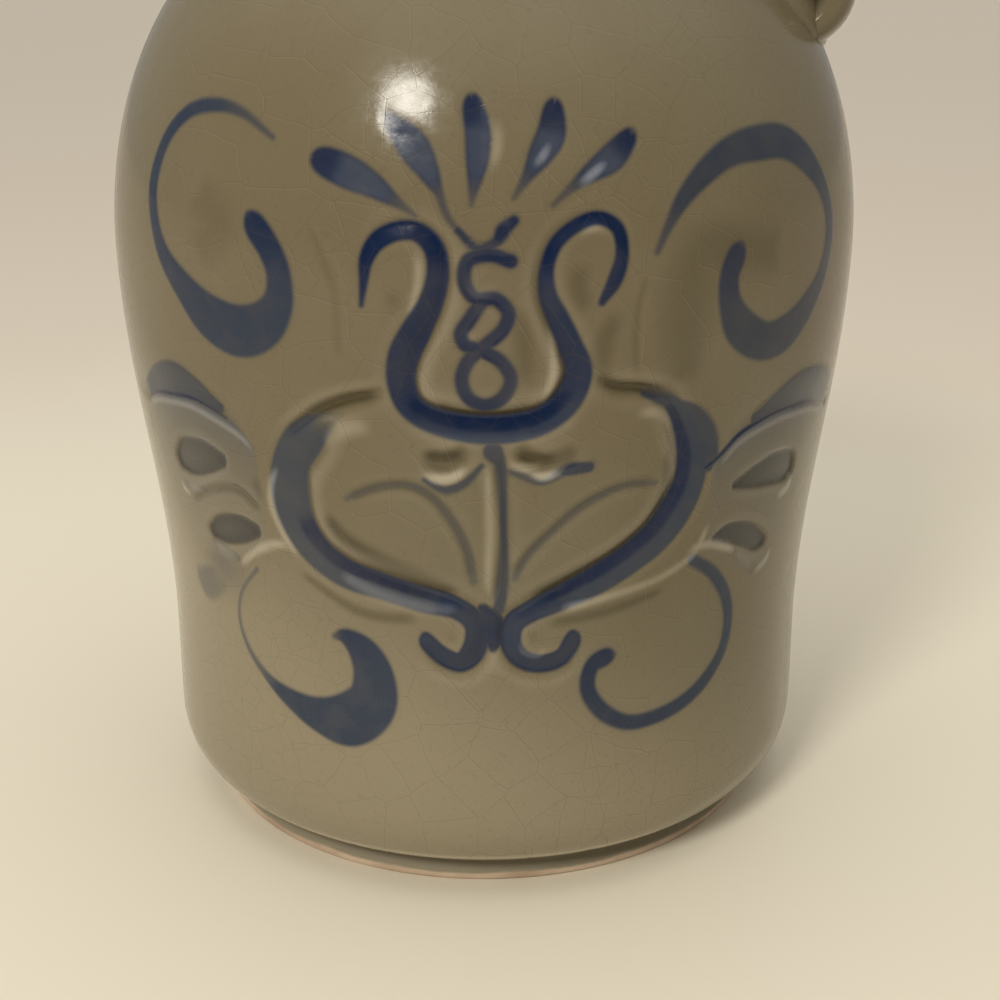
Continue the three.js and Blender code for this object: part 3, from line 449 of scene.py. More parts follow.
RASTER_STEP = 0.25
GIRTHS = np.arange(-97.0, 97.01, RASTER_STEP)
HEIGHTS = np.arange(24.0, 164.01, RASTER_STEP)
WHOLE = (slice(None), slice(None))
FAR = 99.0


def raise_to(field, window, value):
    """Raise a field to a value where it lies lower."""
    field[window] = np.maximum(field[window], value)


def between(field, x, y):
    """The field between raster points, at places in raster steps."""
    i = np.minimum(x.astype(int), field.shape[1] - 2)
    j = np.minimum(y.astype(int), field.shape[0] - 2)
    fx, fy = x - i, y - j
    low = field[j, i] * (1 - fx) + field[j, i + 1] * fx
    high = field[j + 1, i] * (1 - fx) + field[j + 1, i + 1] * fx
    return low * (1 - fy) + high * fy


def rounded(t, spill):
    """A rounded hollow along a stroke, 1 on its line and 0 a little past its edge."""
    share = np.clip((t.out + t.width / 2) / (t.width / 2 + spill), 0, 1.3)
    return np.clip(1 - share ** 2, 0, 1)


class Trace:
    """Distance to a stroke, place across and place along it, over its part of the raster."""

    def __init__(self, stations, reach=9.0):
        line = smooth_line([(g, TULIP_HEIGHT + r, w) for g, r, w in stations], 0.3)
        girth, height, width = line.T
        run = np.gradient(line[:, :2], axis=0)
        run /= np.linalg.norm(run, axis=1)[:, None]
        left = np.stack([-run[:, 1], run[:, 0]], 1)
        lengths = np.r_[0, np.cumsum(np.linalg.norm(np.diff(line[:, :2], axis=0), axis=1))]
        self.length = lengths[-1]
        self.window = self.cells(girth, height, reach)
        rows, columns = self.window
        size = (rows.stop - rows.start, columns.stop - columns.start)
        self.out = np.full(size, FAR)
        self.across = np.zeros(size)
        self.travel = np.zeros(size)
        self.width = np.ones(size)
        for start in range(0, len(line), 16):
            part = slice(start, min(start + 17, len(line)))
            near = self.cells(girth[part], height[part], reach)
            inner = tuple(slice(n.start - w.start, n.stop - w.start) for n, w in zip(near, self.window))
            dg = GIRTHS[near[1]][None, :, None] - girth[part]
            dh = HEIGHTS[near[0]][:, None, None] - height[part]
            gap = np.hypot(dg, dh) - width[part] / 2
            pick = gap.argmin(2)
            best = np.take_along_axis(gap, pick[..., None], 2)[..., 0]
            side = dg * left[part, 0] + dh * left[part, 1]
            side = np.take_along_axis(side, pick[..., None], 2)[..., 0]
            better = best < self.out[inner]
            for field, value in ((self.out, best), (self.across, side), (self.travel, lengths[part][pick]),
                                 (self.width, width[part][pick])):
                field[inner] = np.where(better, value, field[inner])

    @staticmethod
    def cells(girth, height, reach):
        def span(axis, values):
            low = np.searchsorted(axis, values.min() - reach)
            high = np.searchsorted(axis, values.max() + reach)
            return slice(low, max(high, low + 1))
        return span(HEIGHTS, height), span(GIRTHS, girth)

    def ends(self, taper):
        """1 along the stroke, falling to 0 at both ends over a length."""
        return ease(0, taper, self.travel) * ease(0, taper, self.length - self.travel)


class Wall:
    """The carved front of the wall as fields over the raster: height, slip, tone, pooled glaze with painted shade, and
    thin glaze with painted highlights.
    """

    def __init__(self):
        for key in ("depth", "lift", "slip", "tone", "thin", "shade", "hush", "cover"):
            setattr(self, key, np.zeros((len(HEIGHTS), len(GIRTHS))))
        self.footprints = {}
        self.grid = np.meshgrid(GIRTHS, HEIGHTS)
        for name, (kind, stations) in STROKES.items():
            t = Trace(stations)
            getattr(self, "lay_" + kind)(name, t)
            self.keep_footprint(name, t.window, t.out - MARGIN[kind])
        for name, (stations, windows) in PODS.items():
            self.lay_pod(name, stations, windows)
            self.trim(name.replace("pod", "pod_cap"), stations)
        for depth, bank, stations in CARVED_LINES:
            self.carve_line(depth, bank, Trace(stations))
        for strength, tone, depth, stations in TOUCHES_AND_SHADOW_LINES:
            t = Trace(stations)
            self.sink(t.window, depth * ease(0.8, -0.8, t.out))
            self.paint(t.window, strength * self.edge(t.out, 0.45), tone + 0 * t.out)
        # The pooled mark takes thick glaze and painted shade, the thin mark thin glaze and painted highlights.
        self.pooled = np.maximum(self.shade, self.glaze_marks(POOLS_AND_SHADE, -0.18))
        self.thin = np.maximum(self.thin, self.glaze_marks(PALE_AND_LIT, 0.16))
        self.settle()

    def glaze_marks(self, places, rise):
        """A field of soft marks along strokes, each raised or sunk a little."""
        field = np.zeros(self.depth.shape)
        for strength, stations in places:
            t = Trace(stations)
            soft = ease(0.7, -0.45 * t.width, t.out) * ease(-0.5, 3, t.travel) * ease(-0.5, 3, t.length - t.travel)
            raise_to(field, t.window, strength * soft)
            self.lift[t.window] += rise * strength * soft * (t.width.max() < 4)
        return field

    def keep_footprint(self, name, window, out):
        self.footprints[name] = (window, out)
        raise_to(self.cover, window, ease(-0.2, -0.8, out))

    def sink(self, window, depth):
        raise_to(self.depth, window, depth)

    def paint(self, window, slip, tone):
        stronger = slip > self.slip[window]
        self.slip[window] = np.where(stronger, slip, self.slip[window])
        self.tone[window] = np.where(stronger, tone, self.tone[window])

    @staticmethod
    def edge(out, soft=None):
        soft = soft if soft is not None else relief().soft_edge / MM
        return ease(soft, -soft, out)

    def brush(self, t, cover, body, tip):
        streaks = 0.012 * np.sin(7 * t.across + 1.3) * np.sin(0.21 * t.travel + t.across)
        self.lift[t.window] += cover * relief().slip_lift / MM
        self.paint(t.window, cover * (body + streaks), 0.12 + tip)

    @staticmethod
    def brush_ends(t):
        """Slip gathers where the brush is lifted, and less where it is set down."""
        return 0.55 * ease(16, 2, t.length - t.travel) + 0.15 * ease(10, 0, t.travel)

    def lay_brushed(self, name, t):
        """A scroll: one stroke of a full brush, thinner where it is narrow."""
        cover = self.edge(t.out)
        raise_to(self.thin, t.window, MILKY.get(name, 0) * cover)
        body = (0.66 + 0.32 * ease(0.8, 3.2, t.width)) * FAINT.get(name, 1)
        self.brush(t, cover, body, self.brush_ends(t))

    def lay_washed(self, name, t):
        """A thin wash with a soft edge, running out along its length."""
        self.brush(t, self.edge(t.out, 1.3), 0.5 - 0.3 * ease(4, 15, t.travel), self.brush_ends(t))

    def lay_capped(self, name, t):
        """A grey coat over pooled glaze, above a pod."""
        cover = self.edge(t.out)
        raise_to(self.shade, t.window, 0.95 * cover)
        self.brush(t, cover, 0.78, 0.1)

    def lay_scooped(self, name, t):
        """A petal: a shallow scoop, navy at its tip, with a pale painted highlight along its middle."""
        deep = relief().scoop_depth / MM * np.clip(t.width / 4.2, 0.2, 1.1) * SHALLOW.get(name, 1)
        self.sink(t.window, deep * rounded(t, 1.1) ** 1.6)
        tip = ease(6, 1, t.travel)
        laden = self.edge(t.out, 0.55) * (0.55 + 0.4 * ease(0.8, 3, t.width))
        self.paint(t.window, laden, 0.55 + 0.4 * tip)
        # Painted highlight: a pale streak along the petal's middle, fading at its tip
        raise_to(self.thin, t.window, 0.12 * ease(0.2, -0.9, t.out) * ease(1, 3.5, t.width) * (1 - 0.9 * tip))

    def line(self, t, deep, wide, strength, tone):
        self.sink(t.window, relief().line_depth / MM * deep * rounded(t, 0.5) * t.ends(2))
        self.paint(t.window, self.edge(t.out - wide, 0.5) * strength, tone + 0 * t.out)

    def lay_lined(self, name, t):
        """A dark line of the stamen, laid unevenly."""
        self.line(t, 0.6, 0.4, 0.9 + 0.05 * np.sin(0.33 * t.travel + 1.2), 0.85)

    def lay_ribbed(self, name, t):
        """A faint rib of a leaf."""
        self.line(t, 1.0, 0.1, 0.45, 0.1)

    def bevel(self, t, side, reach, bank_width):
        """Sink a bevelled cut: a rounded bank over its deep side, a slope up to the wall on the other.

        Gives back the place across it, from 0 on the shallow side to 1 on the deep one.
        """
        deep = relief().cut_depth / MM * np.clip(t.width / 4.5, 0.15, 1.0) * t.ends(5) * reach
        offset = side * t.across
        share = np.clip(offset / np.maximum(t.width, 0.5) + 0.5, 0, 1)
        slope = deep * (0.12 + 0.88 * share ** 1.2)
        bank = deep * (1 - np.clip((t.out + 0.3) / bank_width, 0, 1)) ** 2
        rim = 0.12 * deep * (1 - ease(0.0, 1.0, t.out))
        self.sink(t.window, np.where(offset > 0, np.minimum(slope, bank), np.where(t.out > 0, rim, slope)))
        return share

    @staticmethod
    def well_inside(t):
        return ease(0.2, -0.6, t.out)

    @staticmethod
    def navy_side(share):
        return ease(0.42, 0.62, share)

    def lay_cup(self, name, t):
        """The tulip's cup: shallower towards its curled ends and greyer along its foot."""
        share = self.bevel(t, 1, 0.25 + 0.75 * t.ends(34), 2.0)
        navy = self.navy_side(share)
        base = np.exp(-((t.travel - 0.5 * t.length) / 16) ** 4) * (1 - ease(0.3, 0.55, share))
        raise_to(self.thin, t.window, 0.05 * base * self.well_inside(t))
        self.paint(t.window, self.edge(t.out, 0.45) * 0.97, 0.92 + 0.08 * navy - 0.5 * base)

    def lay_heart(self, name, t):
        """Half of the heart: grey-blue with navy along its deep side, and an even blue curl."""
        side, strength, paleness, navy_start = HEARTS[name]
        share = self.bevel(t, side, 1, 3.6)
        navy = self.navy_side(share) * ease(*navy_start, t.travel)
        curl = ease(36, 26, t.length - t.travel)
        tone = (0.08 + 0.92 * navy) * (1 - curl) + 0.6 * curl
        laden = np.maximum(strength + 0.04 * navy, 0.97 * curl) * (0.25 + 0.75 * ease(0, 9, t.travel))
        pale = np.maximum(0.04 * (1 - navy) * (1 - curl) * paleness, 0.045 * curl) * self.well_inside(t)
        raise_to(self.thin, t.window, pale)
        self.paint(t.window, self.edge(t.out - 0.45 * curl, 0.45) * laden, tone)

    def lay_ridged(self, name, t):
        """The stem: a low ridge with a groove along its painted right side."""
        crest = np.exp(-((t.across + 1.5) / 1.0) ** 2) * t.ends(3)
        self.lift[t.window] += 0.32 * crest * (t.out < 3)
        groove = np.exp(-((t.across - 1.1) / 0.9) ** 2) * t.ends(3)
        self.sink(t.window, 0.6 * groove * (t.out < 3))
        self.paint(t.window, self.edge(t.out, 0.5) * 0.6 * ease(-0.6, 0.4, t.across), 0.2 + 0 * t.out)

    def lay_lipped(self, name, t):
        """A sepal: hollow under its upper edge, with a lip that catches the light."""
        hollow = np.exp(-((t.across - 2.6) / 1.5) ** 2) * t.ends(2.5) * (t.out < 5)
        self.sink(t.window, 0.8 * hollow)
        lip = np.exp(-(t.across / 0.8) ** 2) * t.ends(2) * (t.out < 2)
        self.lift[t.window] += 0.2 * lip

    def lay_pod(self, name, stations, windows):
        """A pod standing out under a crevice along its upper edge, with windows sunk in its face."""
        girth, height = self.grid
        line = smooth_line([(g, TULIP_HEIGHT + a, TULIP_HEIGHT + b) for g, a, b in stations], 0.4)
        upper = np.interp(GIRTHS, line[:, 0], line[:, 1])[None, :]
        lower = np.interp(GIRTHS, line[:, 0], line[:, 2])[None, :]
        first, last = line[0, 0], line[-1, 0]
        beside = np.maximum(first - girth, girth - last)
        above, below = height - upper, lower - height
        out = np.maximum(np.maximum(above, below), beside)
        down = np.clip(-above / np.maximum(upper - lower, 1), 0, 1)
        inner = np.abs(girth) - min(abs(first), abs(last))
        deep = relief().pod_depth / MM * ease(12, -6, beside) * ease(-1, 8, inner)
        crevice = 1 - np.where(above > 0, ease(0, 7, above), ease(0, 1.2, -above))
        self.sink(WHOLE, deep * crevice)
        face = ease(0.4, -0.4, above) * ease(0.8, -1, beside) * ease(1.2, -1.5, below)
        slip = face * (0.14 + 0.5 * np.exp(-down * 4.5))
        if name in LOW_WASH:
            middle, rise, along, up, strength = LOW_WASH[name]
            wash = np.exp(-((girth - middle) / along) ** 2 - ((height - TULIP_HEIGHT - rise) / up) ** 2)
            slip = np.maximum(slip, strength * wash)
        self.paint(WHOLE, slip, 0.0 * slip)
        # Pale glaze over the pod's face, with a painted highlight under its upper edge where the face turns up to the
        # light
        raise_to(self.thin, WHOLE, face * (0.06 + 0.08 * np.exp(-down * 7)))
        raise_to(self.hush, WHOLE, ease(-0.3, 0.1, above) * ease(2.4, 1.6, above) * ease(2, -2, beside))
        holes = np.full(girth.shape, FAR)
        for window in windows:
            t = Trace(window)
            holes[t.window] = np.minimum(holes[t.window], t.out)
        self.depth += relief().window_depth / MM * ease(0.5, -0.6, holes) * (out < 3)
        self.paint(WHOLE, 0.45 * ease(0.3, -0.5, holes), 0.0 * holes)
        self.thin *= ease(-0.4, 0.4, holes)
        raise_to(self.shade, WHOLE, 0.68 * ease(0.4, -0.4, holes))
        self.keep_footprint(name, WHOLE, np.maximum(out - MARGIN["pod"], -(holes + 0.5)))

    def trim(self, name, stations):
        """Keep a cap's solid clear of the crevice over the pod under it."""
        window, out = self.footprints[name]
        line = smooth_line([(g, TULIP_HEIGHT + a) for g, a, b in stations], 0.4)
        edge = np.interp(GIRTHS[window[1]], line[:, 0], line[:, 1]) + CAP_CLEAR
        self.footprints[name] = (window, np.maximum(out, edge[None, :] - HEIGHTS[window[0]][:, None]))

    def carve_line(self, depth, bank, t):
        self.sink(t.window, depth * rounded(t, 0.4) * t.ends(4))
        if bank:
            below = np.where(t.across < 0, (1 - np.clip((t.out + 0.5) / bank, 0, 1)) ** 2, 0)
            self.sink(t.window, 0.8 * depth * below * t.ends(6))

    def settle(self):
        """Soften the carving, find where glaze pools and thins, and sink the wall under the slip."""
        self.height = blurred(self.lift - self.depth, 0.38 / RASTER_STEP)
        near = blurred(self.height, 0.5 / RASTER_STEP)
        wide = blurred(self.height, 1.6 / RASTER_STEP)
        self.pooled = np.clip(self.pooled + np.clip((wide - near) * 1.6, 0, 0.8), 0, 1)
        breaks = np.clip((near - wide) * 1.3 - 0.05, 0, 0.6) * (1 - 0.95 * self.slip)
        self.thin = np.clip(self.thin + breaks, 0, 1)
        self.thin *= 1 - 0.85 * self.slip * ease(0.5, 0.8, self.tone)
        self.thin *= 1 - self.hush
        lowest = self.height.copy()
        for dv, du in [(0, 3), (0, -3), (3, 0), (-3, 0), (2, 2), (-2, 2), (2, -2), (-2, -2)]:
            lowest = np.minimum(lowest, np.roll(self.height, (dv, du), (0, 1)))
        self.under = self.height - self.cover * (self.height - lowest + 0.25)

    @staticmethod
    def sample(field, girth, height):
        """The field between raster points, and 0 outside the raster."""
        x = (girth - GIRTHS[0]) / RASTER_STEP
        y = (height - HEIGHTS[0]) / RASTER_STEP
        inside = (x >= 0) & (y >= 0) & (x < len(GIRTHS) - 1.001) & (y < len(HEIGHTS) - 1.001)
        return np.where(inside, between(field, np.where(inside, x, 0), np.where(inside, y, 0)), 0.0)

    def marks(self, girth, height):
        return {key: self.sample(getattr(self, key), girth, height) for key in ("slip", "tone", "pooled", "thin")}


def on_wall(girth, height, lift):
    """Points in metres on the outer wall, raised by a lift in millimetres."""
    angle = girth / (shape().widest_radius / MM)
    radius = body_radius(height) + lift
    return np.stack([radius * np.sin(angle), -radius * np.cos(angle), height], -1) * MM


def wall_normals(wall, girth, height):
    """Outward normals of the carved wall."""
    step = 0.2
    here = [wall.sample(wall.height, girth + du, height + dv) for du, dv in
            ((step, 0), (-step, 0), (0, step), (0, -step))]
    along = on_wall(girth + step, height, here[0]) - on_wall(girth - step, height, here[1])
    up = on_wall(girth, height + step, here[2]) - on_wall(girth, height - step, here[3])
    normal = np.cross(along, up)
    return normal / np.maximum(np.linalg.norm(normal, axis=-1), 1e-12)[..., None]


# Meshes

def mesh_object(name, points, faces, normals=None, marks=None):
    mesh = bpy.data.meshes.new(name)
    mesh.from_pydata(np.asarray(points).tolist(), [], faces)
    mesh.polygons.foreach_set("use_smooth", np.ones(len(mesh.polygons), bool))
    for key, values in (marks or {}).items():
        layer = mesh.attributes.new(key, "FLOAT", "POINT")
        layer.data.foreach_set("value", np.asarray(values, np.float32))
    if normals is not None:
        mesh.normals_split_custom_set_from_vertices(np.asarray(normals).tolist())
    mesh.validate()
    mesh.update()
    made = bpy.data.objects.new(name, mesh)
    bpy.context.scene.collection.objects.link(made)
    return made


def settle_piece(made, slot, material, *nodes):
    made.data.materials.append(material)
    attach(made, BODY)
    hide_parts(*nodes)
    return made


def ring_faces(rows, columns, ends="open"):
    """Quads round a grid whose columns close on themselves, its ends left open, joined or capped."""
    i = np.arange(rows if ends == "joined" else rows - 1)[:, None] * columns
    k = np.arange(columns)[None, :]
    after = (k + 1) % columns
    above = (i + columns) % (rows * columns)
    faces = np.stack([i + k, i + after, above + after, above + k], -1).reshape(-1, 4).tolist()
    if ends == "capped":
        last = (rows - 1) * columns
        faces += [list(range(columns))[::-1], list(range(last, last + columns))]
    return faces


def quarter(start, end, count):
    """Angles along a turn of the profile, in quarter turns."""
    return np.linspace(start * math.pi / 2, end * math.pi / 2, count)


def turned(name, profile, columns):
    """A closed turned piece from a profile of radius and height in metres, given from inside to outside."""
    radius, height = np.asarray(profile, float).T
    angle = np.linspace(0, 2 * np.pi, columns, endpoint=False)
    points = np.stack([radius[:, None] * np.cos(angle), radius[:, None] * np.sin(angle),
                       np.repeat(height[:, None], columns, 1)], -1)
    if radius.min() < 1e-6:
        raise ValueError(f"{name}: the profile meets the axis")
    marks = {"height": np.repeat(height, columns)}
    return mesh_object(name, points.reshape(-1, 3), ring_faces(len(radius), columns, "joined"), None, marks)


def cut_out(out):
    """Flat mesh of the raster where a field is negative: places in raster steps, and faces."""
    inside = out < 0
    ids = {}
    places = []

    def place(key, x, y):
        if key not in ids:
            ids[key] = len(places)
            places.append((x, y))
        return ids[key]

    def crossing(a, b):
        a, b = min(a, b), max(a, b)
        t = min(max(out[a] / (out[a] - out[b]), 0.02), 0.98)
        return place((a, b), a[1] + t * (b[1] - a[1]), a[0] + t * (b[0] - a[0]))

    faces = []
    filled = inside[:-1, :-1].astype(int) + inside[1:, :-1] + inside[:-1, 1:] + inside[1:, 1:]
    for j, i in np.argwhere(filled > 0).tolist():
        loop = [(j, i), (j, i + 1), (j + 1, i + 1), (j + 1, i)]
        face = []
        for a, b in zip(loop, loop[1:] + loop[:1]):
            if inside[a]:
                face.append(place(a, a[1], a[0]))
            if inside[a] != inside[b]:
                face.append(crossing(a, b))
        faces.append(face)
    return np.array(places, float), faces


def open_edges(faces):
    """Directed edges that only one face uses."""
    seen = {}
    for face in faces:
        for a, b in zip(face, face[1:] + face[:1]):
            if (b, a) in seen:
                del seen[(b, a)]
            else:
                seen[(a, b)] = True
    return list(seen)


def slip_piece(name, wall):
    """A coat of slip as a thin closed solid lying in the carved wall."""
    (rows, columns), out = wall.footprints[name]
    flat, faces = cut_out(out)
    girth = GIRTHS[columns][0] + flat[:, 0] * RASTER_STEP
    height = HEIGHTS[rows][0] + flat[:, 1] * RASTER_STEP
    rise = ease(-0.15, -0.65, between(out, flat[:, 0], flat[:, 1]))
    lift = wall.sample(wall.height, girth, height) - 0.06 + rise * (0.09 + LAYER_STEP * LAYER.get(name, 0))
    top = on_wall(girth, height, lift)
    bottom = on_wall(girth, height, lift - relief().coat / MM)
    normals = wall_normals(wall, girth, height)
    count = len(top)
    rim = [(a, b, b + count, a + count)[::-1] for a, b in open_edges(faces)]
    under = [[v + count for v in reversed(face)] for face in faces]
    marks = {key: np.r_[values, values] for key, values in wall.marks(girth, height).items()}
    return mesh_object(name + "_slip", np.vstack([top, bottom]), faces + rim + under,
                       np.vstack([normals, -normals]), marks)


_made = {}


def front_wall():
    """The carved wall's fields, worked out once."""
    if "wall" not in _made:
        _made["wall"] = Wall()
    return _made["wall"]


# Finishes

class Nodes:
    """A small helper that adds and links the shader nodes of a material or world."""

    def __init__(self, owner):
        self.owner = owner
        owner.use_nodes = True
        self.tree = owner.node_tree
        self.tree.nodes.clear()

    def add(self, kind, inputs=None, **settings):
        node = self.tree.nodes.new(kind)
        for key, value in settings.items():
            setattr(node, key, value)
        for key, value in (inputs or {}).items():
            self.put(node.inputs[key], value)
        return node

    def put(self, socket, value):
        if isinstance(value, bpy.types.NodeSocket):
            self.tree.links.new(value, socket)
        elif isinstance(value, (tuple, list)) and len(value) == 3 and socket.type == "RGBA":
            socket.default_value = (*value, 1.0)
        else:
            socket.default_value = value

    def attribute(self, name):
        return self.add("ShaderNodeAttribute", attribute_name=name).outputs["Fac"]

    def math(self, operation, a, b=0.0, clamp=False):
        return self.add("ShaderNodeMath", {0: a, 1: b}, operation=operation, use_clamp=clamp).outputs[0]

    def remap(self, value, low, high, to_low=0.0, to_high=1.0):
        inputs = {0: value, 1: low, 2: high, 3: to_low, 4: to_high}
        return self.add("ShaderNodeMapRange", inputs, interpolation_type="SMOOTHSTEP").outputs[0]

    def mix(self, share, a, b):
        return self.add("ShaderNodeMix", {0: share, 6: a, 7: b}, data_type="RGBA").outputs[2]

    def vector(self, operation, a, b=(0.0, 0.0, 0.0)):
        return self.add("ShaderNodeVectorMath", {0: a, 1: b}, operation=operation).outputs

    def place(self):
        return self.add("ShaderNodeTexCoord").outputs["Object"]

    def parts(self, vector):
        return self.add("ShaderNodeSeparateXYZ", {0: vector}).outputs

    def noise(self, vector, scale, detail=3.0, roughness=0.5):
        inputs = {"Vector": vector, "Scale": scale, "Detail": detail, "Roughness": roughness}
        return self.add("ShaderNodeTexNoise", inputs).outputs["Fac"]

    def bump(self, height, strength, distance, normal=None):
        inputs = {"Height": height, "Strength": strength, "Distance": distance}
        if normal is not None:
            inputs["Normal"] = normal
        return self.add("ShaderNodeBump", inputs).outputs[0]

    def close(self, colour, roughness, normal, **constants):
        shader = self.add("ShaderNodeBsdfPrincipled", {"Base Color": colour, "Roughness": roughness, "Normal": normal})
        for key, value in constants.items():
            shader.inputs[key.replace("_", " ")].default_value = value
        self.add("ShaderNodeOutputMaterial", {0: shader.outputs[0]})
        return self.owner


# Cells of the crazed glaze: scale, width of the lines, how far they bend
COARSE_CRACKLE = (105.0, 0.017, 0.006)
FINE_CRACKLE = (190.0, 0.027, 0.003)
# Offset in metres of the painted highlight beside each crack line
LIT_SIDE = (0.00018, 0.00022, 0.0)
SHOULDER_SLANT = 0.6


def unrolled_place(n, place):
    """Girth and slant height of a place on the jug, as a flat pattern."""
    parts = n.parts(place)
    turn = n.math("ARCTAN2", parts["X"], n.math("MULTIPLY", parts["Y"], -1.0))
    radius = n.vector("LENGTH", n.vector("MULTIPLY", place, (1.0, 1.0, 0.0))[0])["Value"]
    slant = n.math("SUBTRACT", parts["Z"], n.math("MULTIPLY", radius, SHOULDER_SLANT))
    girth = n.math("MULTIPLY", turn, shape().waist_radius)
    return n.add("ShaderNodeCombineXYZ", {0: girth, 1: slant}).outputs[0]


def crackle_lines(n, place, scale, width, warp):
    """Fine lines between cells of crazed glaze, over the unrolled wall."""
    bend = n.add("ShaderNodeTexNoise", {"Vector": place, "Scale": scale * 0.5, "Detail": 2.0}).outputs["Color"]
    bent = n.vector("ADD", place, n.vector("MULTIPLY", bend, (warp, warp, warp))[0])[0]
    cells = n.add("ShaderNodeTexVoronoi", feature="DISTANCE_TO_EDGE", voronoi_dimensions="2D")
    n.put(cells.inputs["Vector"], bent)
    n.put(cells.inputs["Scale"], scale)
    return n.remap(cells.outputs["Distance"], width, 0.0)


def glaze_material(name):
    """Olive grey crackle glaze over clay and slip, read from the piece's own marks."""
    f = finish()
    n = Nodes(bpy.data.materials.new(name))
    place = n.place()
    clouds = n.noise(place, 22.0, 4.0)
    specks = n.noise(place, 900.0, 2.0)
    base = n.mix(n.remap(clouds, 0.38, 0.66), tuple(f.glaze), tuple(f.glaze_grey))
    along = n.parts(place)
    # Painted light: the glaze is painted lighter lower down and towards the left, where the floor and the lamp light it
    # most.
    rise = n.math("ADD", along["Z"], n.math("MULTIPLY", along["X"], 0.45))
    rise = n.math("ADD", rise, n.math("MULTIPLY", clouds, 0.02))
    base = n.mix(n.remap(rise, 0.085, 0.030), base, tuple(f.glaze_lit_low))
    base = n.mix(n.math("MULTIPLY", n.remap(specks, 0.58, 0.74), 0.12), base, tuple(f.crackle))
    pooled, thin, slip, tone = [n.attribute(key) for key in ("pooled", "thin", "slip", "tone")]
    # Thick glaze and painted shade, both carried by the pooled mark, darken the glaze here.
    base = n.mix(n.math("MULTIPLY", pooled, 0.85), base, tuple(f.glaze_pooled_and_shade))
    blue = n.mix(tone, tuple(f.brushed), tuple(f.deep))
    brush = n.remap(n.noise(place, 160.0, 3.0), 0.25, 0.75, 0.95, 1.06)
    base = n.mix(n.math("MULTIPLY", slip, brush, True), base, blue)
    # Thin glaze over edges and painted highlights, both carried by the thin mark, lighten the colour here.
    pale = n.mix(slip, tuple(f.glaze_thin_and_lit), tuple(f.slip_thin_and_lit))
    base = n.mix(n.math("MULTIPLY", thin, 0.8), base, pale)
    unrolled = unrolled_place(n, place)
    where = n.remap(n.noise(place, 30.0, 2.0), 0.35, 0.65)
    lines, lit = [n.math("MAXIMUM", crackle_lines(n, spot, *COARSE_CRACKLE),
                         n.math("MULTIPLY", crackle_lines(n, spot, *FINE_CRACKLE), where))
                  for spot in (unrolled, n.vector("ADD", unrolled, LIT_SIDE)[0])]
    # Painted highlight: a pale line along one side of each crack, kept off the slip
    lit = n.math("MULTIPLY", n.math("SUBTRACT", lit, lines, True), n.math("SUBTRACT", 1.0, slip, True))
    base = n.mix(n.math("MULTIPLY", lit, 0.08), base, tuple(f.glaze_thin_and_lit))
    base = n.mix(n.math("MULTIPLY", lines, 0.22), base, tuple(f.crackle))
    peel = n.noise(place, 520.0, 2.0)
    waves = n.noise(place, 95.0, 2.0)
    normal = n.bump(peel, 0.12, 0.0002)
    normal = n.bump(waves, 0.10, 0.0006, normal)
    normal = n.bump(n.math("SUBTRACT", 1.0, lines), 0.06, 0.00006, normal)
    rough = n.remap(peel, 0.3, 0.7, 0.13, 0.19)
    return n.close(base, rough, normal, IOR=1.5, Specular_IOR_Level=0.28)


def clay_material(name):
    """Bare fired clay with toasted patches and grit."""
    f = finish()
    n = Nodes(bpy.data.materials.new(name))
    place = n.place()
    toast = n.remap(n.noise(place, 60.0, 4.0), 0.42, 0.68)
    grit = n.noise(place, 1500.0, 3.0, 0.65)
    base = n.mix(toast, tuple(f.clay), tuple(f.clay_dark))
    base = n.mix(n.math("MULTIPLY", n.remap(grit, 0.58, 0.72), 0.4), base, tuple(f.clay_dark))
    run = n.math("ADD", n.attribute("height"), n.math("MULTIPLY", n.noise(place, 90.0), 0.0012))
    base = n.mix(n.remap(run, 0.0019, 0.0026), base, tuple(f.glaze_run))
    normal = n.bump(grit, 0.35, 0.0002)
    return n.close(base, n.remap(grit, 0.3, 0.7, 0.72, 0.92), normal, IOR=1.45)


def material(kind):
    if kind not in _made:
        make = clay_material if kind == "bare_clay" else glaze_material
        _made[kind] = make(kind)
    return _made[kind]


# Operators, one for each piece or group of like pieces

# The body's mesh in millimetres: rows over the foot, fine rows and columns over the carving, coarse ones elsewhere
HEEL_ROWS = [0.35, 0.8, 1.5, 2.6, 4.0, 5.8, 8.0, 10.5, 13.2, 16.2]
FINE_STEP = 0.62
FINE_LOW, FINE_HIGH, DOME_LOW = 25.2, 158.0, 158.4
FINE_GIRTH = 93.0
DOME_ROWS, BACK_COLUMNS = 15, 46
INNER_BEND = 12


